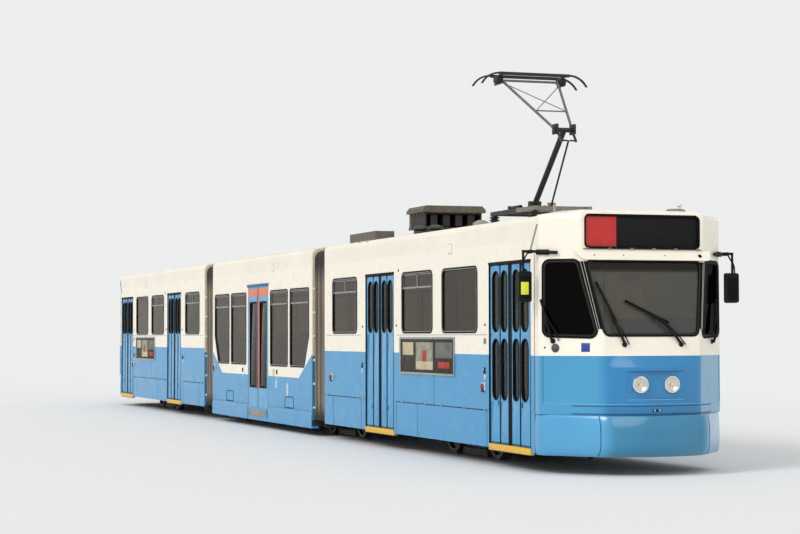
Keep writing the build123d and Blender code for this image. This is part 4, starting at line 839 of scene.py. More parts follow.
# %% [markdown]
# ## Doorways and the middle door
# Round each folding doorway runs a black rubber frame, and its lowest step has a yellow
# edge that is renewed as the paint wears off. The middle door is younger: two flush leaves
# with tall square panes, an orange panel above each, and orange strips by the closing edge
# that show where it opens. It plugs outwards and then slides, so it is one fixed piece.

# %% Doorway frames and step edges
FOLDING_DOORS = ((6.960, 8.410), (12.560, 14.060))
for section, direction in ENDS:
    parts = []
    for x0, x1 in FOLDING_DOORS:
        left, right = sorted((direction * x0, direction * x1))
        for a, b in ((left - 0.004, left + 0.010), (right - 0.010, right + 0.004)):
            parts.append((block((a, -1.329, 0.300), (b, -1.276, 2.812), 0.002), "rubber"))
        parts += [(block((left - 0.02, -1.331, 2.800), (right + 0.02, -1.276, 2.838), 0.004), "rubber"),
                  (block((left, -1.3365, 0.232), (right, -1.268, 0.322), 0.006), "yellow")]
        for z in (0.345, 2.79):
            parts.append((block((left, -1.320, z - 0.004), (right, -1.284, z + 0.004), 0.001), "rubber"))
    make_piece(section + "_doorway_frames", section + "_section", parts)


# %% The middle door
MID_DOOR_LOW, MID_DOOR_TOP = 0.386, 2.812
DOOR_PANE_RUBBER = ((-0.004, 0.0), (-0.004, 0.003), (0.03, 0.002), (0.03, -0.01), (0, -0.01))


def on_door(points, depth):
    """Outline of (x, z) on the outer face of the middle door."""
    return on_wall(-1)(points, depth - 0.002)


# Strips on a leaf: x and z from and to, corner, back, front, finish on the left and on the right leaf
DOOR_STRIPS = ((0.03, 2.615, 0.772, 2.762, 0.004, -0.001, 0.0025, "orange", "orange"),
               # The left leaf's strip is the right leaf's orange darkened as painted shade.
               (0.022, 0.770, 0.088, 2.612, 0.004, -0.001, 0.002, "strip_brown", "orange"),
               (0.0015, MID_DOOR_LOW, 0.019, MID_DOOR_TOP, 0.004, -0.036, 0.001,
                "grey_rubber", "grey_rubber"),
               (0.772, MID_DOOR_LOW, 0.7795, MID_DOOR_TOP, 0.002, -0.036, 0.003, "rubber", "rubber"))
parts = []
for direction in (-1, 1):
    pane = rectangle(direction * 0.115, 0.790, direction * 0.655, 2.500)
    sheet = rectangle(direction * 0.018, MID_DOOR_LOW, direction * 0.772, MID_DOOR_TOP)
    parts += [(pierced(on_door, outline(sheet, 0.002), outline(pane, 0.012), -0.036), "door_blue"),
              (band(pane, 0.012, on_door, DOOR_PANE_RUBBER), "rubber"),
              (plate(pane, 0.012, on_door, -0.016, -0.008, 0.0005), "glass")]
    for x0, z0, x1, z1, corner, back, front, *keys in DOOR_STRIPS:
        strip = rectangle(direction * x0, z0, direction * x1, z1)
        parts.append((plate(strip, corner, on_door, back, front), keys[direction > 0]))
make_piece("dressed_middle_door", "middle_section", parts, stands_for=("mid_door",))
parts = [
    (block((-0.80, -1.352, 2.800), (0.80, -1.318, 2.852), 0.010), "groove"),
    (block((-0.74, -1.352, 0.368), (0.74, -1.300, 0.384), 0.004), "steel"),
    (block((-0.68, -1.3360, 0.205), (0.68, -1.330, 0.352), 0.006), "rubber"),
    (block((-0.64, -1.3400, 0.228), (0.64, -1.335, 0.330), 0.006), "sill_plate"),
]
for x in (-0.63, 0.63):
    screw = turned([(0, 0.014), (0.006, 0.014), (0.009, 0.008)], (x, -1.3385, 0.30), (0, -1, 0), 12)
    parts.append((screw, "steel"))
make_piece("middle_door_rail_and_sill", "middle_section", parts)


# %% [markdown]
# ## Bellows
# Between the sections the gangway is closed by coated fabric, sewn into folds that open on the outside of a
# curve and close on the inside. The fabric is an arch in section, pulled in and out along the tram like a
# concertina: its inset is a rounded zigzag of the distance. Over the roof the same folds turn nearly black.

# %% The arch and its folds
FOLDS, FOLD_DEEP, FOLD_SHALLOW, FABRIC = 7, 0.105, 0.045, 0.004


def arch_line(inset, count_side=10, count_top=25):
    """Half-round-cornered arch (y, z) from the right foot over the roof to the left foot: straight
    sides, shoulders of radius r, and a shallow top rising by the camber at the middle."""
    half, edge, rise, r = HALF_WIDTH - inset, 3.405 - inset, 0.100, 0.140
    side = np.linspace(0.30, edge - r, count_side)
    turn_angle = np.linspace(0, np.pi / 2, 7)[1:]
    shoulder = np.stack([-half + r - r * np.cos(turn_angle), edge - r + r * np.sin(turn_angle)], -1)
    y = np.linspace(-half + r, half - r, count_top)[1:-1]
    crown = np.stack([y, edge + rise * (1 - (y / (half - r)) ** 2)], -1)
    left = np.concatenate([np.stack([np.full(count_side, -half), side], -1), shoulder])
    return np.concatenate([left, crown, (left * (-1, 1))[::-1]])


def folded_arch(x0, x1):
    """The arch carried from x0 to x1 with its inset going between shallow and deep as a cosine
    of the distance sharpened to a fold; a second skin inside it makes the fabric's thickness."""
    x = np.linspace(x0, x1, FOLDS * 8 + 1)
    wave = np.cos(np.linspace(0, 2 * np.pi * FOLDS, len(x)))
    wave = np.sign(wave) * np.abs(wave) ** 0.6
    insets = (FOLD_DEEP + FOLD_SHALLOW) / 2 - (FOLD_DEEP - FOLD_SHALLOW) / 2 * wave
    skins = []
    for extra in (0, FABRIC):
        lines = np.stack([arch_line(i + extra) for i in insets])
        skins.append(np.concatenate([np.repeat(x[:, None, None], lines.shape[1], 1), lines], -1))
    return np.concatenate([skins[0], skins[1][:, ::-1]], 1)


for name, a, b in (("front", 3.800, 4.600), ("rear", -4.600, -3.800)):
    fabric = folded_arch(a + 0.012, b - 0.012)
    piece = make_piece(name + "_bellows_folds", None, [(grid(fabric, caps=True), "bellows")],
                       stands_for=(name + "_bellows",), crease=60)
    bodies = ("middle_section", name + "_section")
    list(bodies if name == "front" else bodies[::-1])
    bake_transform(piece)
    around = np.linalg.norm(np.diff(fabric[0, :fabric.shape[1] // 2], axis=0), axis=1).sum()
    along = np.linalg.norm(np.diff(fabric[:, fabric.shape[1] // 4], axis=0), axis=1).sum()
    print(name, "bellows fabric when flat:", round(around, 2), "m around,", round(along, 2), "m along")


# %% The end frames that carry the bellows, in the bodies' cream and blue darkened as painted shade, with their screws
FRAMES = ((3.800, 1, "middle_section"), (-3.800, -1, "middle_section"), (4.600, -1, "front_section"),
          (-4.600, 1, "rear_section"))
FRAME_RINGS = ((0.006, -0.004), (0.006, 0.016), (0.010, 0.022), (0.075, 0.022), (0.075, -0.004))
parts_of = {"middle_section": [], "front_section": [], "rear_section": []}
for x, out, body in FRAMES:
    lines = [(arch_line(inset), x + out * step) for inset, step in FRAME_RINGS]
    rings = [np.column_stack([np.full(len(line), ring_x), line]) for line, ring_x in lines]
    # A frame's ring of cross-sections runs along the arch, so the grid is turned over
    parts_of[body].append((grid(np.swapaxes(np.stack(rings), 0, 1), caps=True), "end_frame"))
    for side in (-1, 1):
        # A black plate at each frame's foot covers the skirt's end below the bellows as painted shade.
        foot = block((x - 0.004, side * 0.90, 0.190), (x + 0.004, side * 1.3255, 0.310), 0.001)
        parts_of[body].append((foot, "hood"))
        for z in np.arange(0.52, 2.9, 0.43):
            screw = turned([(0, 0.026), (0.012, 0.026), (0.018, 0.016)],
                           (x + out * 0.020, side * 1.285, z), (out, 0, 0), 10)
            parts_of[body].append((screw, "white"))
for body, parts in parts_of.items():
    make_piece(body + "_bellows_frames", body, parts)


# %% [markdown]
# ## The front: rubbers, sign, wipers
# The end is a faceted shell: a bowed apron panel, a screen that leans back, and a chamfer
# on each side with a window of its own. To sit trim on it, two functions give the shell's
# surface: the face's x falls along a line from the screen's foot to the sign box, and a
# chamfer is the straight line between the face's edge and the side at each height.

# %% The end's surface
FACE_Z = (0.785, 1.405, 1.565, 1.765, 2.940, 3.360, 3.415)
FACE_X = (15.0, 15.0, 15.0, 15.0, 14.730, 14.730, 14.722)
FACE_HALF = (0.70, 0.70, 0.70, 0.70, 0.88, 0.90, 0.89)
FACE_BOW = (0.130, 0.130, 0.050, 0.0, 0.0, 0.0, 0.0)


def on_face(end):
    """Outline of (y, z) on the end's face: x from the table plus the bow, which is a parabola
    of y. end is 1 for the front, -1 for the rear, a half turn about the middle."""
    def place(points, depth):
        y, z = points[:, 0], points[:, 1]
        half = np.interp(z, FACE_Z, FACE_HALF)
        x = np.interp(z, FACE_Z, FACE_X) + np.interp(z, FACE_Z, FACE_BOW) * (1 - (y / half) ** 2)
        return np.stack([end * (x + depth), end * y, z], -1)
    return place


def on_chamfer(end, side):
    """Outline of (u, z) on a chamfer, u along it from its lower front corner: each point is
    moved along the chamfer's normal until it meets the line of the chamfer at its height."""
    run = np.hypot(0.640, 0.625)
    along, normal = np.array((-0.640, side * 0.625)) / run, np.array((0.625, side * 0.640)) / run

    def place(points, depth):
        u, z = points[:, 0], points[:, 1]
        base = np.array((15.0, side * 0.70)) + u[:, None] * along
        near = np.stack([np.interp(z, FACE_Z, FACE_X), side * np.interp(z, FACE_Z, FACE_HALF)], -1)
        line = np.array((14.360, side * 1.325)) - near
        gap = near - base
        reach = ((gap[:, 0] * line[:, 1] - gap[:, 1] * line[:, 0])
                 / (normal[0] * line[:, 1] - normal[1] * line[:, 0]))
        flat = base + (reach + depth)[:, None] * normal
        return np.stack([end * flat[:, 0], end * flat[:, 1], z], -1)
    return place


# %% Screen, corner window and sign outlines
SCREEN = ((-0.665, 1.825), (0.665, 1.825), (0.825, 2.800), (-0.825, 2.800))
CORNER_WINDOW = ((0.075, 1.805), (0.8246, 1.825), (0.8246, 2.790), (0.375, 2.790))
SIGN = ((-0.830, 2.9675), (0.830, 2.9675), (0.830, 3.3975), (-0.830, 3.3975))
SIGN_X, PANE_CORNER = 14.7085, 0.075
SCREEN_RUBBER = ((-0.024, 0.0005), (-0.024, 0.008), (-0.010, 0.013), (0.010, 0.011), (0.016, 0.002),
                 (0.018, -0.0135), (0.004, -0.0135), (0.004, 0.0005))
CORNER_RUBBER = tuple((inset - 0.008 if inset < 0 else inset + 0.010, depth)
                      for inset, depth in SCREEN_RUBBER)
SCREEN_BEAD, CORNER_BEAD = (((0.0, 0.011), (0.0, 0.0145), (width, 0.0145), (width, 0.011))
                            for width in (0.009, 0.008))
SIGN_RUBBER = ((-0.010, 0.020), (-0.010, 0.028), (0.014, 0.028), (0.018, 0.0), (0.0, 0.0))


def pillar(end, side):
    """The rubber on the pillar between a corner window and the screen: one strip on the chamfer and one on
    the face, which meet at the ridge, and two lock strips on the chamfer, drawn light as painted highlights."""
    z = np.array((1.900, 2.785))
    face_half, face_x = np.interp(z, FACE_Z, FACE_HALF), np.interp(z, FACE_Z, FACE_X)
    ridge = ((15.0 - face_x) * 0.640 + (face_half - 0.70) * 0.625) / np.hypot(0.640, 0.625)
    window = 0.075 + 0.300 * (z - 1.805) / 0.985
    glass = 0.665 + 0.160 * (z - 1.825) / 0.975
    chamfer = on_chamfer(end, side)
    strip = ((ridge[0], z[0]), (window[0], z[0]), (window[1], z[1]), (ridge[1], z[1]))
    front = [(side * y, height) for y, height in ((face_half[0], z[0]), (glass[0], z[0]), (glass[1], z[1]),
                                                  (face_half[1], z[1]))]
    parts = [(plate(strip, 0.002, chamfer, -0.001, 0.007), "rubber"),
             (plate(front if side < 0 else front[::-1], 0.002, on_face(end), -0.001, 0.007), "rubber")]
    # The two lock strips are drawn light: painted highlights.
    for share in (0.55, 0.12):
        line = np.column_stack([ridge + share * (window - ridge), z])
        parts.append((tube(chamfer(np.linspace(line[0], line[1], 8), 0.008), 0.0036, 6), "lining"))
    return parts


def end_trim(end):
    """The rubbers of an end's three windows and its sign, and the sign's two plain panels."""
    face = on_face(end)
    parts = [(band(SCREEN, PANE_CORNER, face, SCREEN_RUBBER), "rubber"),
             (band(SCREEN, PANE_CORNER, face, SCREEN_BEAD), "grey_rubber")]
    for side in (-1, 1):
        chamfer = on_chamfer(end, side)
        parts += pillar(end, side)
        parts += [(band(CORNER_WINDOW, PANE_CORNER, chamfer, CORNER_RUBBER), "rubber"),
                  (band(CORNER_WINDOW, PANE_CORNER, chamfer, CORNER_BEAD), "grey_rubber")]

    def on_sign(points, depth):
        x = np.full(len(points), end * (SIGN_X + depth))
        return np.column_stack([x, end * points[:, 0], points[:, 1]])
    parts += [(band(SIGN, 0.060, on_sign, SIGN_RUBBER), "rubber"),
              (plate(SIGN, 0.060, on_sign, 0.0, 0.003), "sign_black")]
    if end > 0:
        red = rectangle(-0.814, 2.984, -0.372, 3.381)
        parts.append((plate(red, (0.045, 0.003, 0.003, 0.045), on_sign, 0.002, 0.006), "sign_red"))
    return parts


for section, end in ENDS:
    make_piece(section + "_end_trim", section + "_section", end_trim(end))


# %% [markdown]
# Wipers hang from a pivot below each pane. An arm of flat steel leans over the glass and
# carries a rubber blade on a bow of its own; beside the arm runs a thinner rod that keeps
# the blade's tilt. All of it stands a few centimetres clear of the glass.

# %% Wipers
def foot_on(place, u, z):
    """A point of a surface and the direction straight out of it."""
    foot = place(np.array([(u, z)]), 0.0)[0]
    return foot, place(np.array([(u, z)]), 1.0)[0] - foot


def wiper(place, pivot, elbow, blade, apart=0.055):
    """Arm, parallel rod, blade and its bow, from flat points on an end's surface; the rod's pivot
    lies apart metres beside the arm's."""
    def lifted(points, depths):
        points = np.asarray(points, float)
        return np.concatenate([place(points[i:i + 1], depth) for i, depth in enumerate(depths)])
    pivot, elbow, blade = np.array(pivot), np.array(elbow), np.array(blade)
    middle, half_way = blade.mean(0), (pivot + elbow) / 2
    along = (blade[1] - blade[0]) / np.linalg.norm(blade[1] - blade[0])
    offset = np.array((apart, 0.0))
    arm = bend(lifted([pivot, half_way, elbow, middle], (0.030, 0.058, 0.062, 0.048)), 16)
    rod = bend(lifted([pivot + offset, half_way + offset, elbow + offset * 0.6, middle + along * 0.05],
                      (0.026, 0.050, 0.055, 0.046)), 16)
    rubber = bend(lifted([blade[0], middle, blade[1]], (0.026, 0.026, 0.026)), 10)
    bow = bend(lifted([blade[0] + along * 0.06, middle - along * 0.05, middle + along * 0.05,
                       blade[1] - along * 0.06], (0.030, 0.046, 0.046, 0.030)), 12)
    boss = [(0, 0.034), (0.012, 0.034), (0.022, 0.020), (0.046, 0.018), (0.050, 0.010)]
    return [(tube(arm, np.linspace(0.020, 0.013, 16), 8), "sign_black"), (tube(rod, 0.0085, 6), "sign_black"),
            (tube(rubber, 0.018, 6), "rubber"), (tube(bow, 0.012, 6), "sign_black"),
            (turned(boss, *foot_on(place, *pivot), 16), "plastic")]


# Surface, pivot, elbow, the blade's two ends, the rod's place beside the arm
WIPERS = ((on_face(1), (-0.404, 1.700), (-0.560, 2.020), ((-0.500, 2.000), (-0.735, 2.520)), 0.055),
          (on_face(1), (0.411, 1.700), (0.180, 1.960), ((-0.345, 2.270), (0.250, 1.985)), 0.055),
          (on_chamfer(1, -1), (0.699, 1.747), (0.755, 1.950), ((0.735, 1.900), (0.862, 2.290)), -0.088),
          (on_chamfer(1, 1), (0.500, 1.735), (0.600, 1.950), ((0.560, 1.880), (0.660, 2.300)), 0.055))
make_piece("wipers", "front_section", [part for row in WIPERS for part in wiper(*row)])


# %% [markdown]
# ## Lamps
# A headlamp is a chromed bowl behind a lens with pressed flutes, held by a bright rim. The
# bowl is turned from a parabola, radius growing as the square root of the distance; the
# lens is a shallow dome whose height also ripples with y, which draws the flutes.

# %% Headlamps and tail lamps
RECESS_X, LAMP_Z = 15.088, 1.180


def fluted_lens(centre, radius, rise, end, flutes=9):
    """A dome on a disc: height = rise * (1 - r^2) plus a ripple of y that dies at the rim."""
    r = np.sqrt(np.linspace(0, 1, 9))[:, None]
    a = np.linspace(0, 2 * np.pi, 40, endpoint=False)[None, :]
    y, z = r * np.cos(a), r * np.sin(a)
    height = rise * (1 - r**2) + 0.0012 * (1 - r**2) * np.sin(flutes * np.pi * y)
    points = np.stack([centre[0] + end * height, centre[1] + radius * y, centre[2] + radius * z], -1)
    return sheet_grid(np.concatenate([points, points[:, :1]], 1))


def lamp_unit(y, radius, end, lens, depth):
    """A lamp at y on the back of an end's recess: body, bright rim, lens, and a bowl that is a
    parabola, its depth growing with the square of the radius."""
    centre = np.array((end * RECESS_X, y, LAMP_Z))
    rim = [(0.0005, radius * 0.96), (depth, radius), (depth + 0.008, radius - 0.004),
           (depth + 0.006, radius - 0.016), (depth - 0.004, radius - 0.018)]
    rim += [(0.003 + (depth - 0.009) * share**2, (radius - 0.020) * share)
            for share in (0.98, 0.85, 0.7, 0.55, 0.4, 0.25, 0.1, 0.0)]
    lens_centre = centre + np.array((end * (depth + 0.001), 0, 0))
    return [(turned(rim, centre, (end, 0, 0), 36), "chrome"),
            (fluted_lens(lens_centre, radius - 0.015, 0.010, end), lens)]


parts = [part for side in (-1, 1) for part in lamp_unit(side * 0.225, 0.113, 1, "headlamp_lens", 0.030)]
for side in (-1, 1):
    bulb = [(0, 0.012), (0.010, 0.014), (0.022, 0.010), (0.026, 0.0)]
    parts.append((turned(bulb, (RECESS_X + 0.020, side * 0.225, LAMP_Z), (1, 0, 0), 12), "white"))
make_piece("headlamps_with_lenses", "front_section", parts, stands_for=("headlamps",))
parts = [part for y, lens in ((0.130, "red_lens"), (0.290, "amber_lens")) for side in (-1, 1)
         for part in lamp_unit(side * y, 0.060, -1, lens, 0.025)]
make_piece("tail_lamps_with_lenses", "rear_section", parts, stands_for=("tail_lamps",))


# %% Small fittings of the front: round sensor, bell slot, blank plates, coupling socket
chamfer, face = on_chamfer(1, -1), on_face(1)
SENSOR = [(0, 0.056), (0.008, 0.056), (0.018, 0.050), (0.030, 0.034), (0.036, 0.012)]
parts = [
    (turned(SENSOR, *foot_on(chamfer, 0.667, 1.655), 28), "cab"),
    (turned([(0, 0.012), (0.004, 0.012), (0.006, 0.006)], *foot_on(chamfer, 0.817, 1.660), 12), "plastic"),
    (plate(rectangle(0.184, 1.604, 0.306, 1.721), 0.006, chamfer, 0.0, 0.002), "plate_blue"),
    (plate(rectangle(-0.06, 0.828, 0.06, 0.862), 0.004, face, -0.004, 0.004), "plastic"),
]
for y in (-0.035, 0.035):
    pin = turned([(0, 0.012), (0.010, 0.012), (0.012, 0.006)], *foot_on(face, y, 0.845), 10)
    parts.append((pin, "white"))
make_piece("front_small_fittings", "front_section", parts)


# %% Lines that run round an end: the grooves' shade, a painted highlight on the raised panel's edge, and the lamps' recess with painted shade above and a painted highlight below
def around_end(end, z, reach, depth=0.0, count=72):
    """Points at height z from y = -reach to reach: on the bowed face, x = face + bow * (1 - (y / half)^2),
    and past its edges on the straight chamfers."""
    y = np.linspace(-reach, reach, count)
    half, face = np.interp(z, FACE_Z, FACE_HALF), np.interp(z, FACE_Z, FACE_X)
    bowed = face + np.interp(z, FACE_Z, FACE_BOW) * (1 - (y / half) ** 2)
    slanted = face + (14.360 - face) * (np.abs(y) - half) / (HALF_WIDTH - half)
    x = np.where(np.abs(y) <= half, bowed, slanted) + depth
    return np.column_stack([end * x, end * y, np.full(count, z)])


# The lines in blue in shadow are painted shade in the grooves and under the recess's top; the light blue
# lines are painted highlights on the raised panel's edge and the recess's lower lip.
# Height, reach to each side, depth, half thickness and finish of each line
END_LINES = ((0.802, 0.995, -0.004, 0.0090, "groove"), (0.904, 0.995, -0.004, 0.0090, "groove"),
             (0.926, 1.290, 0.0015, 0.0034, "highlight_blue"), (0.984, 0.395, 0.002, 0.0045, "highlight_blue"),
             (1.354, 0.395, 0.001, 0.0050, "groove"))
SEAM_Y = 1.3262
for section, end in ENDS:
    parts = [(tube(around_end(end, z, reach, depth), thick, 6), key)
             for z, reach, depth, thick, key in END_LINES]
    for side in (-1, 1):
        corner = on_chamfer(end, side)(np.array([(0.845, z) for z in (0.926, 1.24, 1.545)]), 0.0015)
        parts.append((tube(corner, 0.0036, 6), "groove"))
        seam = np.array([(14.203, side * SEAM_Y, z) for z in np.linspace(0.80, 2.93, 8)]) * (end, end, 1)
        parts.append((tube(seam, 0.0036, 6), "grey_rubber"))
        # The joint of the end's top leans back; it is sealed with two beads
        for shift in (0.0, -0.036):
            lean = [(end * (14.09 + shift + 0.70 * (z - 2.95)), end * side * SEAM_Y, z)
                    for z in (2.95, 3.12, 3.285)]
            parts.append((tube(lean, 0.0042, 6), "rubber"))
    make_piece(section + "_end_seams", section + "_section", parts)


# %% The sun blind behind the screen, the visor's hinge line, its brackets and its spot lamp
blind = ((-0.80, 2.650), (0.80, 2.650), (0.825, 2.795), (-0.825, 2.795))
hinge = np.array([(14.742, y, 2.951) for y in np.linspace(-0.86, 0.86, 12)])
parts = [(plate(blind, 0.01, on_face(1), -0.034, -0.030), "sign_black"), (tube(hinge, 0.0055, 6), "cab")]
for y in (-0.80, -0.48, -0.16, 0.16, 0.48, 0.80):
    parts.append((block((14.732, y - 0.020, 2.944), (14.752, y + 0.020, 2.968), 0.004), "grey_enamel"))
# The visor's underside leans forward by 0.095 for each 0.125 that it drops
VISOR_OUT = np.array((0.125, 0.0, 0.095)) / np.hypot(0.125, 0.095)
for y, radius in ((0.815, 0.026), (-0.72, 0.008), (-0.30, 0.006), (0.30, 0.006)):
    foot = np.array((14.730 + 0.095 * 0.52, y, 2.934 - 0.125 * 0.52))
    knob = turned([(-0.004, radius), (0.006, radius), (0.010, radius * 0.7)], foot, VISOR_OUT, 16)
    parts.append((knob, "plastic"))
make_piece("blind_and_visor_fittings", "front_section", parts)


# %% [markdown]
# ## The aprons under the ends
# The apron is a moulding with soft corners, bowed across and bulged in height. The CAD has
# its size; here the same outline gets larger corner arcs and a smooth bulge, a dark joint
# where its corner parts meet the middle one, and a rolled top edge.

# %% Apron outlines and the two aprons
APRON_LOW, APRON_TOP, APRON_WALL = 0.250, 0.783, 0.035


def apron_line(z, inset=0.0, steps=9):
    """Half a closed outline, seen from above, from the door side round the front: nine corners
    with large arcs. It draws in by 0.078 * s^3 below 0.45 m and by 0.040 * s^2 above 0.55 m, with
    s from 0 to 1 towards the edge."""
    pull = 0.078 * np.clip((0.45 - z) / 0.20, 0, 1) ** 3 + 0.040 * np.clip((z - 0.55) / 0.235, 0, 1) ** 2
    side, half, face = HALF_WIDTH - pull / 4, 0.72 - pull / 2, 15.170 - pull
    right = [(14.206, -side), (14.36, -side), (face, -half), (face + 0.1125, -half / 2)]
    corners = right + [(face + 0.150, 0.0)] + [(x, -y) for x, y in right[::-1]]
    radii = (0.0005, 0.32, 0.34, 1.5, 1.7, 1.5, 0.34, 0.32, 0.0005)
    return outline(corners, radii, inset, steps)[steps - 1:1 - steps]


def apron(end):
    """The wall's cross-section, up the outside and down the inside, carried round the outline."""
    section = [(APRON_LOW, 0.006)] + [(z, 0.0) for z in np.linspace(APRON_LOW + 0.006, APRON_TOP - 0.010, 14)]
    section += [(APRON_TOP - 0.003, 0.003), (APRON_TOP, 0.010), (APRON_TOP, 0.075), (APRON_TOP - 0.03, 0.075),
                (APRON_TOP - 0.04, APRON_WALL), (0.50, APRON_WALL), (APRON_LOW, APRON_WALL)]
    lines = [(end * apron_line(z, inset), z) for z, inset in section]
    rings = [np.column_stack([line, np.full(len(line), z)]) for line, z in lines]
    return grid(np.swapaxes(np.stack(rings), 0, 1), caps=True)


for section, end in ENDS:
    parts = [(apron(end), "apron")]
    for y in (-0.780, 0.780):
        joint = []
        for z in np.linspace(APRON_LOW + 0.01, APRON_TOP - 0.004, 16):
            line = apron_line(z)
            order = np.argsort(line[:, 1])
            joint.append((end * np.interp(y, line[order, 1], line[order, 0]), end * y, z))
        screw_at = np.array(joint[-4]) + (0, end * np.sign(y) * -0.03, 0)
        screw = turned([(-0.006, 0.010), (0.004, 0.010), (0.006, 0.006)], screw_at, (end, 0, 0), 10)
        parts += [(tube(joint, 0.0046, 6), "rubber"), (screw, "steel")]
    make_piece(section + "_apron", section + "_section", parts, stands_for=(section + "_bumper",), crease=50)


# %% [markdown]
# ## The long sides
# The side panels are screwed on, so joints, hinges and small fittings break them up: a
# joint line under the windows, flaps in the skirt on pin hinges, marker lamps, air slots,
# and push buttons by the doors. A joint is a narrow dark bead a millimetre proud. The two
# frames for posters keep their aluminium rims; what they show is plain blocks of colour.

# %% Poster pattern: plain blocks, as shares of the frame's width and height
POSTER_BLOCKS = ((0.00, 0.00, 1.00, 1.00, "poster_brown"), (0.04, 0.52, 0.25, 0.90, "poster_sand"),
                 (0.30, 0.10, 0.62, 0.90, "poster_green"), (0.30, 0.10, 0.62, 0.34, "poster_sand"),
                 (0.42, 0.34, 0.50, 0.66, "poster_red"), (0.67, 0.45, 0.97, 0.90, "poster_grey"),
                 (0.72, 0.16, 0.92, 0.34, "poster_red"))
POSTER_FRAME = ((0, 0), (0.002, 0.020), (0.020, 0.024), (0.036, 0.010), (0.036, 0))


def poster(x0, z0, x1, z1):
    """The blocks of one poster, each 0.6 mm over the one before it."""
    wide, tall, parts = x1 - x0, z1 - z0, []
    for step, (a, low, b, high, key) in enumerate(POSTER_BLOCKS):
        corners = rectangle(x0 + a * wide, z0 + low * tall, x0 + b * wide, z0 + high * tall)
        front = 0.006 + 0.0006 * step
        back = front - 0.0008 if step else 0.0
        parts.append((plate(corners, 0.002, on_wall(-1), back, front, 0.0002, 2), key))
    return parts


# %% Seams, posters and fittings of the long sections
LENS = [(0, 0.050), (0.012, 0.050), (0.026, 0.045), (0.036, 0.030), (0.040, 0.004)]


def marker_lamp(x, side, z):
    """A square housing, a black block under it as its painted shadow, and a round red lens that stands out of
    it.
    """
    return [(wall_block(x, side, z, 0.065, 0.060, 1.336, 0.008), "white"),
            (wall_block(x, side, z - 0.060, 0.050, 0.012, 1.350, 0.006, 1.330), "plastic"),
            (turned(LENS, (x, side * 1.334, z), (0, side, 0), 20), "red_lens")]


def bead(side, x0, x1, z, tall=0.005):
    """A dark joint line on a wall from x0 to x1 at height z."""
    line = rectangle(x0, z - tall / 2, x1, z + tall / 2)
    return plate(line, 0.001, on_wall(side), -0.0005, 0.0012, 0.0004, 2)


def air_slot(x0, x1, z0, z1, side, paint):
    """A sand-coloured rim with the body's colour in the middle."""
    x0, x1 = sorted((x0, x1))
    inner = rectangle(x0 + 0.012, z0 + 0.012, x1 - 0.012, z1 - 0.012)
    return [(plate(rectangle(x0, z0, x1, z1), 0.012, on_wall(side), 0.0, 0.004), "vent_rim"),
            (plate(inner, 0.008, on_wall(side), 0.003, 0.009), paint)]


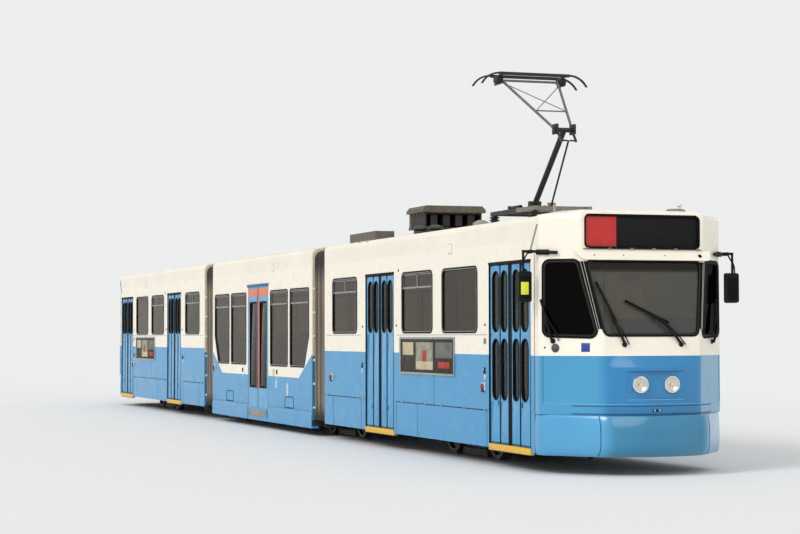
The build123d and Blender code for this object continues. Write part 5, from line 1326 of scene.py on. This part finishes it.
# Places along the tram from its middle: poster frames and joint lines from and to, upright
# seams with their z from and to, then single places; a dot has its z too
POSTERS = {"front": (8.74, 11.20), "rear": (9.82, 12.10)}
RIGHT_SEAMS, LEFT_SEAM = ((4.71, 6.74), (8.55, 12.50)), ((4.61, 14.19),)
UPRIGHT_SEAMS = ((4.71, 0.775, 0.80), (6.71, 0.27, 0.775), (8.55, 0.27, 0.775), (12.47, 0.27, 0.775),
                 (5.124, 0.27, 0.775), (9.534, 0.27, 0.775), (10.29, 0.775, 1.215))
FLAP_HINGES = (4.80, 5.70, 6.55, 8.85, 9.90, 10.60, 11.60, 12.40)
MARKERS = {"front": (5.02, 12.34), "rear": (12.50,)}
BUTTONS, LOCKS = (6.77, 12.39), (5.21, 9.62)
DOTS = ((8.65, 2.85), (6.79, 1.97), (8.55, 1.98), (12.41, 1.97))
for section, direction in ENDS:
    parts = []
    for side in (-1, 1):
        for x0, x1 in RIGHT_SEAMS if side < 0 else LEFT_SEAM:
            parts += [(bead(side, direction * x0, direction * x1, 1.83, 0.006), "grey_rubber"),
                      (bead(side, direction * x0, direction * (x1 - 0.03), 0.775, 0.011), "rubber")]
        for x, low, high in UPRIGHT_SEAMS:
            middle, half = (low + high) / 2, (high - low) / 2
            seam = wall_block(direction * x, side, middle, 0.006, half, SEAM_Y, 0.0005, 1.3245)
            parts.append((seam, "rubber"))
        for x in FLAP_HINGES:
            if side > 0 or not any(a - 0.05 < x < b + 0.05 for a, b in FOLDING_DOORS):
                hinge_at = (direction * x, side * 1.331, 0.779)
                leaf = wall_block(direction * x, side, 0.779, 0.022, 0.022, 1.331, 0.003)
                pin = turned([(-0.03, 0.007), (0.03, 0.007)], hinge_at, (1, 0, 0), 8)
                parts += [(leaf, "steel"), (pin, "steel")]
        for x in LOCKS:
            lock = turned([(0, 0.010), (0.004, 0.010)], (direction * x, side * 1.325, 0.32), (0, side, 0), 10)
            parts.append((lock, "plastic"))
        for x in MARKERS[section]:
            parts += marker_lamp(direction * x, side, 1.10)
    for x in direction * np.array(BUTTONS):
        button = turned([(0, 0.014), (0.004, 0.014), (0.006, 0.008)], (x, -1.340, 1.345), (0, -1, 0), 14)
        parts += [(wall_block(x, -1, 1.3285, 0.022, 0.0435, 1.340, 0.010), "plastic"), (button, "yellow"),
                  (wall_block(x, -1, 1.2385, 0.020, 0.0335, 1.327, 0.002), "white")]
    for x, z in DOTS:
        dot = turned([(0, 0.020), (0.006, 0.018), (0.012, 0.010)], (direction * x, -1.325, z), (0, -1, 0), 14)
        parts.append((dot, "plastic"))
    # An air slot high on each wall and the reader by the front door
    for side in (-1, 1):
        parts += air_slot(direction * 10.92, direction * 11.08, 3.02, 3.17, side, "side")
    reader = rectangle(direction * 12.365, 1.700, direction * 12.450, 1.780)
    parts.append((plate(reader, 0.012, on_wall(-1), 0.0, 0.008), "grey_enamel"))
    x0, x1 = sorted(direction * x for x in POSTERS[section])
    parts += poster(x0 + 0.03, 1.25, x1 - 0.03, 1.77)
    parts.append((band(rectangle(x0, 1.22, x1, 1.80), 0.012, on_wall(-1), POSTER_FRAME), "steel"))
    make_piece(section + "_side_fittings", section + "_section", parts)


# %% The middle section's seams, flaps, lamps and buttons
FLAP_SEAL = ((0, -0.0005), (0, 0.004), (0.016, 0.004), (0.016, -0.0005))
parts = []
for side in (-1, 1):
    for x in (-2.29, 2.29):
        corners = ((x - 0.33, 0.46), (x + 0.33, 0.46), (x + 0.28, 0.68), (x - 0.28, 0.68))
        parts.append((band(corners, 0.05, on_wall(side), FLAP_SEAL), "rubber"))
        for dx in (-0.2, 0.2):
            parts.append((wall_block(x + dx, side, 0.681, 0.02, 0.009, 1.331, 0.003), "steel"))
    for x0, x1 in ((-3.79, -0.80), (0.80, 3.79)) if side < 0 else ((-3.79, 3.79),):
        parts.append((bead(side, x0, x1, 0.455, 0.007), "grey_rubber"))
    parts += marker_lamp(-3.66, side, 1.15) + air_slot(1.01, 1.17, 3.06, 3.22, side, "mid_side")
for x in (-1.20, 1.42):
    parts += [(wall_block(x, -1, 1.1275, 0.022, 0.0425, 1.340, 0.010), "plastic"),
              (wall_block(x, -1, 1.0275, 0.018, 0.0425, 1.327, 0.002), "white")]
CARDS = ((rectangle(1.11, 1.05, 1.26, 1.18), "card_sand"), (rectangle(1.33, 0.82, 1.40, 0.97), "white"))
for card, key in CARDS:
    parts.append((plate(card, 0.006, on_wall(-1), 0.0, 0.003), key))
for z in (0.745, 0.865):
    disc = turned([(0, 0.066), (0.0016, 0.066), (0.0022, 0.060)], (2.15, -1.325, z), (0, -1, 0), 28)
    parts.append((disc, "plate_grey"))
make_piece("middle_side_fittings", "middle_section", parts)


# %% [markdown]
# ## Mirrors, seen from both sides
# The door-side mirror hangs on a stout black arm that folds along the body. The CAD
# housing stays; it gets its silvered glass on the driver's side and a blank card on the
# other, yellow as the real one, without its letter.

# %% Mirror glass, card and arm joints
MIRROR_X = 14.330
# Paths on the left side: the arm, the sleeve on it and the bracket to the housing, with radius,
# sides and count of points
ARM_TUBES = ((((MIRROR_X, 1.345, 2.915), (14.420, 1.290, 2.915), (14.560, 1.150, 2.905)), 0.022, 10, 12),
             (((14.345, 1.352, 2.915), (14.400, 1.300, 2.914), (14.470, 1.236, 2.911)), 0.036, 14, 10),
             (((MIRROR_X, 1.470, 2.915), (MIRROR_X, 1.500, 2.860), (MIRROR_X, 1.560, 2.770),
               (MIRROR_X, 1.575, 2.650)), 0.011, 8, 14))
parts = []
for side in (-1, 1):
    hub = turned([(-0.05, 0.026), (0.05, 0.026)], (MIRROR_X, side * 1.440, 2.920), (1, 0, 0), 16)
    parts += [(block((14.2825, side * 1.446, 2.275), (14.2862, side * 1.604, 2.645), 0.0015), "chrome"),
              (block((14.372, side * 1.455, 2.300), (14.377, side * 1.595, 2.600), 0.002), "rubber"),
              (hub, "plastic")]
    for path, radius, sides, count in ARM_TUBES:
        parts.append((tube(bend(np.array(path) * (1, side, 1), count), radius, sides), "plastic"))
parts.append((block((14.3765, -1.588, 2.355), (14.381, -1.480, 2.520), 0.001), "lemon"))
make_piece("mirror_glass_and_arms", "front_section", parts)


# %% [markdown]
# ## The roof
# The braking resistors sit in an open-ended box on feet, under an olive lid. Around them lie
# ribbed insulators, and the flat discs of aerials.

# %% Roof fittings
def insulator(centre, tall, radius, ribs):
    """A ribbed insulator: its radius swings between core and rib as a cosine of the height."""
    height = np.linspace(0, tall, ribs * 8 + 1)
    reach = radius * (0.78 + 0.22 * -np.cos(height / tall * ribs * 2 * np.pi))
    return turned(np.stack([height, reach], -1), centre, (0, 0, 1), 16)


def on_box_end(points, depth):
    """Outline of (y, z) behind the resistor box's end plate, which faces the tail."""
    return np.column_stack([np.full(len(points), 6.818 - depth), points])


UP, BOX_BOLT_Z = (0, 0, 1), (3.605, 3.835)
DISC = [(0, 0.09), (0.008, 0.125), (0.040, 0.125), (0.052, 0.10), (0.068, 0.06)]
AERIAL_FOOT = [(0, 0.135), (0.020, 0.135), (0.044, 0.110), (0.050, 0.02)]
AERIAL = [(0.045, 0.018), (0.075, 0.016), (0.085, 0.034), (0.105, 0.036), (0.118, 0.020), (0.122, 0.004)]
parts = []
for y in np.linspace(-0.44, 0.44, 7):
    for z in BOX_BOLT_Z:
        bolt = turned([(-0.001, 0.013), (0.009, 0.013), (0.012, 0.008)], (6.850, y, z), (-1, 0, 0), 8)
        parts.append((bolt, "steel"))
for y in (-0.5, 0.5):
    for x in np.linspace(6.92, 7.53, 5):
        for z in BOX_BOLT_Z:
            bolt = turned([(-0.001, 0.012), (0.009, 0.012), (0.012, 0.007)], (x, y, z), (0, np.sign(y), 0), 8)
            parts.append((bolt, "steel"))
for x, y in ((7.86, -0.66), (8.16, -0.52), (7.86, 0.66)):
    for z in (3.475, 3.545):
        parts.append((turned(DISC, (x, y, z), UP, 24), "disc"))
# The resistor box's end plate stands over the lid's end, held by clips at its corners
end_plate = ((-0.50, 3.600), (0.50, 3.600), (0.50, 3.955), (-0.50, 3.955))
parts.append((plate(end_plate, 0.006, on_box_end, 0.0, 0.008), "grey_enamel"))
for y in (-0.49, -0.16, 0.16, 0.49):
    for z in (3.612, 3.940):
        parts.append((block((6.800, y - 0.018, z - 0.024), (6.812, y + 0.018, z + 0.024), 0.003), "plastic"))
parts += [(turned(AERIAL_FOOT, (14.50, 0.60, 3.462), UP, 28), "grey_enamel"),
          (turned(AERIAL, (14.50, 0.66, 3.462), UP, 20), "white")]
for x in (6.60, 6.99):
    hook = bend([(x, -1.306, 3.37), (x, -1.312, 3.395), (x, -1.27, 3.412)], 8)
    parts.append((tube(hook, 0.010, 6), "steel"))
make_piece("roof_fittings", "front_section", parts)
parts = []
for y in (-1.10, 1.10):
    parts.append((tube(bend([(-3.6, y, 3.44), (0, y, 3.44), (3.6, y, 3.44)], 20), 0.010, 6), "side"))
    for x in np.linspace(-3.5, 3.5, 7):
        parts.append((block((x - 0.012, y - 0.015, 3.405), (x + 0.012, y + 0.015, 3.442), 0.003), "side"))
make_piece("middle_roof_rails", "middle_section", parts)


# %% [markdown]
# ## Inside
# Through the tinted panes the ceiling, the lamps, the grab poles and the seat covers can
# be seen. The ceiling is a shallow vault of laminate below the roof, with a row of lamps
# in a moulded cover; poles are bent steel tube in yellow paint from the floor to it.

# %% Ceilings, lamp covers and wall lining
POLE_TOP, POLE_Y = 2.86, (-0.36, 0.36)


def vault(x0, x1, half, foot, crown, count=13):
    """A shallow vault from x0 to x1: height = foot + (crown - foot) * (1 - (y / half)^2), with
    a second skin 12 mm above it."""
    y = np.linspace(-half, half, count)
    z = foot + (crown - foot) * (1 - (y / half) ** 2)
    line = np.concatenate([np.stack([y, z], -1), np.stack([y, z + 0.012], -1)[::-1]])
    return grid(np.stack([np.column_stack([np.full(len(line), x), line]) for x in (x0, x1)]), caps=True)


SPANS = (("front_section", 4.68, 13.95), ("rear_section", -13.95, -4.68), ("middle_section", -3.72, 3.72))
for body, x0, x1 in SPANS:
    parts = [(vault(x0, x1, 1.19, 3.02, 3.20), "lining")]
    for y in (-0.62, 0.62):
        parts.append((block((x0 + 0.3, y - 0.07, 3.055), (x1 - 0.3, y + 0.07, 3.12), 0.02), "lamp_cover"))
    for y in POLE_Y:
        rail = bend([(x0 + 0.4, y, POLE_TOP), ((x0 + x1) / 2, y, POLE_TOP), (x1 - 0.4, y, POLE_TOP)], 12)
        parts.append((tube(rail, 0.016, 8), "pole"))
        for x in np.arange(x0 + 0.7, x1 - 0.4, 1.55):
            hanger = [(x, y, POLE_TOP), (x, y * 1.05, 3.0), (x, y * 1.1, 3.15)]
            parts.append((tube(hanger, 0.013, 8), "pole"))
    make_piece(body + "_ceiling", body, parts)


# %% Grab poles by the doors and seats
LONG_POLES, MID_POLES = (6.86, 8.55, 12.46, 9.9, 11.3, 5.6), (-3.0, -0.9, 0.9, 3.0)
HIGH_FLOOR, LOW_FLOOR = 0.905, 0.375
pole_rows = [(section + "_section", [(direction * x, HIGH_FLOOR, 1.9) for x in LONG_POLES])
             for section, direction in ENDS]
pole_rows.append(("middle_section", [(x, (HIGH_FLOOR if abs(x) > 2.5 else LOW_FLOOR) + 0.001, 1.8)
                                     for x in MID_POLES]))
for body, rows in pole_rows:
    make_piece(body + "_grab_poles", body,
               [(tube([(x, y, foot), (x, y, middle), (x, y, POLE_TOP)], 0.016, 8), "pole")
                for x, foot, middle in rows for y in POLE_Y])


# %% [markdown]
# A bench for two is one moulded shell with two thin foam pads on the seat and two on the
# back. A pad is a crowned closed form: its outline shrinks as its height grows, steeply at
# the rim and slowly to the middle, and a piped seam runs round the rim.

# %% Seat pads
BENCHES = {"long": (5.25, 6.05, 7.10, 7.90, 8.95, 9.80, 10.65, 11.50), "middle": (1.26, 2.03, 3.10)}
DOORWAY_BENCHES = (7.10, 7.90)
PAD_RINGS = ((0.004, -0.006), (0.000, 0.004), (0.003, 0.014), (0.012, 0.021), (0.035, 0.026), (0.080, 0.0295),
             (0.130, 0.031))
BENCH_Y, BENCH_WIDTH = HALF_WIDTH - 0.050 - 0.030 - 0.42, 0.84


def pad(origin, run, towards, width, length):
    """A crowned pad with its piping, width along Y and length along run, a vector in the X-Z plane;
    its crown faces towards."""
    run = np.asarray(run, float) / np.hypot(run[0], run[1])
    normal = np.array((-run[1], run[0]))
    normal = normal * np.sign(normal @ np.asarray(towards, float))

    def place(points, depth):
        x = origin[0] + points[:, 1] * run[0] + depth * normal[0]
        z = origin[2] + points[:, 1] * run[1] + depth * normal[1]
        return np.stack([x, origin[1] + points[:, 0], z], -1)
    corners = ((-width / 2, 0), (width / 2, 0), (width / 2, length), (-width / 2, length))
    rings = np.stack([place(outline(corners, 0.05, inset, 4), depth) for inset, depth in PAD_RINGS])
    seam = place(outline(corners, 0.05, -0.001, 4), 0.008)
    return [(grid(rings, caps=True), "seat"), (tube(np.vstack([seam, seam[:1]]), 0.004, 5), "cab")]


def bench_pads(x, y, floor_z, facing, width):
    """Seat and back pads on a shell whose back bottom edge is at x; facing is 1 towards +X."""
    seat_z, parts = floor_z + 0.430, []
    centres = (y - width / 4, y + width / 4) if width > 0.6 else (y,)
    wide = width / len(centres) - 0.03
    low, high = (x - facing * 0.003, seat_z + 0.025), (x - facing * 0.060, floor_z + 0.880)
    for centre in centres:
        seat_start = (x + facing * 0.035, centre, seat_z - 0.0185)
        parts += pad(seat_start, (facing * 0.430, 0.020), (0, 1), wide, 0.375)
        parts += pad((low[0], centre, low[1]), (high[0] - low[0], high[1] - low[1]), (facing, 0), wide, 0.400)
    return parts


for section, direction in ENDS:
    parts = []
    for x in BENCHES["long"]:
        for side in (-1, 1):
            if side > 0 or x not in DOORWAY_BENCHES:
                parts += bench_pads(direction * x, side * BENCH_Y, HIGH_FLOOR, 1, BENCH_WIDTH)
    if direction > 0:
        parts += bench_pads(14.17, 0.25, HIGH_FLOOR, 1, 0.48)
    make_piece(section + "_seat_pads", section + "_section", parts)
parts = []
for x in BENCHES["middle"]:
    for direction in (-1, 1):
        for side in (-1, 1):
            floor_z = HIGH_FLOOR if x > 2.5 else LOW_FLOOR
            parts += bench_pads(direction * x, side * BENCH_Y, floor_z, -direction, BENCH_WIDTH)
make_piece("middle_seat_pads", "middle_section", parts)


# %% The driver's place: desk with instruments, speed lever and rear-view mirror
LEVER = bend([(14.66, 0.30, 1.80), (14.64, 0.30, 1.86), (14.60, 0.30, 1.90)], 8)
LEVER_KNOB = [(-0.03, 0.0), (-0.028, 0.022), (0.012, 0.028), (0.03, 0.02), (0.034, 0.0)]
parts = [
    (block((14.60, -0.50, 1.790), (14.86, 0.50, 1.806), 0.006), "plastic"),
    (block((14.78, -0.30, 1.80), (14.84, 0.35, 1.90), 0.015), "plastic"),
    (tube(LEVER, 0.014, 8), "plastic"),
    (turned(LEVER_KNOB, (14.60, 0.30, 1.925), (0, 0, 1), 14), "plastic"),
    (block((14.735, -0.34, 2.54), (14.750, -0.06, 2.63), 0.006), "plastic"),
    (tube([(14.742, -0.20, z) for z in (2.62, 2.68, 2.74)], 0.008, 8), "plastic"),
]
for y in (-0.20, -0.05, 0.10, 0.25):
    dial = turned([(0, 0.045), (0.010, 0.045), (0.012, 0.036)], (14.778, y, 1.855), (-1, 0, 0), 18)
    parts.append((dial, "chrome"))
make_piece("driver_instruments", "front_section", parts)


# %% [markdown]
# ## Pantograph details
# The collector's carbon strips are dark and satin on top of their steel trays. Two coil
# springs along the base raise the lower arm; at the knee, two cheeks carry the upper arm's
# cross tube. Dark insulators hold the base over the roof.

# %% Strips, straps, springs and base insulators
HEAD_X, HEAD_Z = 10.900, 5.635


def coil(centre, axis, length, radius, turns, points):
    """A helix of a number of turns about an axis, 0 for X or 2 for Z: it starts at the centre and
    runs on by length."""
    angle = np.linspace(0, 2 * np.pi * turns, points)
    run, cosine, sine = np.linspace(0, length, points), radius * np.cos(angle), radius * np.sin(angle)
    return np.array(centre) + np.column_stack((run, cosine, sine) if axis == 0 else (cosine, sine, run))


parts = []
for strip_x in (HEAD_X - 0.190, HEAD_X + 0.190):
    carbon = block((strip_x - 0.017, -0.55, HEAD_Z + 0.094), (strip_x + 0.017, 0.55, HEAD_Z + 0.1048), 0.002)
    parts.append((carbon, "carbon"))
    for y in np.linspace(-0.5, 0.5, 6):
        low = (strip_x - 0.0235, y - 0.018, HEAD_Z + 0.064)
        parts.append((block(low, (strip_x + 0.0235, y + 0.018, HEAD_Z + 0.086), 0.003), "arm_dark"))
for side in (-1, 1):
    y = side * 0.51
    clamp_low = (HEAD_X - 0.095, y - 0.050, HEAD_Z - 0.035)
    clamp = block(clamp_low, (HEAD_X + 0.095, y + 0.050, HEAD_Z + 0.058), 0.012)
    bar = turned([(-0.13, 0.018), (0.13, 0.018)], (HEAD_X, y, HEAD_Z - 0.050), (1, 0, 0), 10)
    spring = tube(coil((HEAD_X, side * 0.52, HEAD_Z), 2, 0.062, 0.014, 7, 180), 0.003, 6)
    parts += [(spring, "steel"), (clamp, "arm_dark"), (bar, "arm_dark")]
make_piece("collector_strips", "collector_head", parts)

parts = []
for side in (-1, 1):
    cheek = block((12.085, side * 0.122, 4.715), (12.255, side * 0.150, 4.865), 0.02)
    cap_at = (12.170, side * 0.156, 4.780)
    cap = turned([(-0.010, 0.052), (0.010, 0.052), (0.014, 0.040)], cap_at, (0, side, 0), 20)
    parts += [(cheek, "arm_dark"), (cap, "arm_dark")]
make_piece("knee_caps", "upper_arm", parts)

parts = [(insulator((x, y, 3.497), 0.122, 0.085, 3), "disc")
         for x in (10.500, 12.050) for y in (-0.420, 0.420)]
make_piece("pantograph_insulators", "front_section", parts)
parts = []
for side in (-1, 1):
    parts += [(tube(coil((10.62, side * 0.20, 3.730), 0, 0.40, 0.032, 22, 420), 0.006, 5), "arm_grey"),
              (block((10.53, side * 0.18, 3.665), (10.60, side * 0.22, 3.775), 0.005), "arm_dark")]
make_piece("pantograph_springs", "front_section", parts)


# %% Material slots of the record, and a count of the new pieces whose names match one
PIECE_SLOTS = (
    ("door_leaf", "dressed_ middle_door_rail"),
    ("black_plastic", "window_rubbers doorway_frames end_trim wipers side_fittings small_fittings"
                      " visor_fittings mirror_"),
    ("bellows", "bellows"), ("lamp_glass", "headlamps"), ("red_lamp", "tail_lamps"),
    ("blue_paint", "_apron end_seams"), ("roof_gear", "roof_fittings insulators"),
    ("roof_paint", "roof_rails"),
    ("cab_plastic", "_ceiling grab_poles instruments"), ("seat_cover", "_pads"),
    ("arm_steel", "collector knee springs"),
)
slotted = 0
for piece in bpy.data.objects:
    if piece.type == "MESH" and piece.name not in nodes:
        for slot_name, words in PIECE_SLOTS:
            if any(word in piece.name for word in words.split()):
                slotted += 1
                break
print("slots given", slotted)
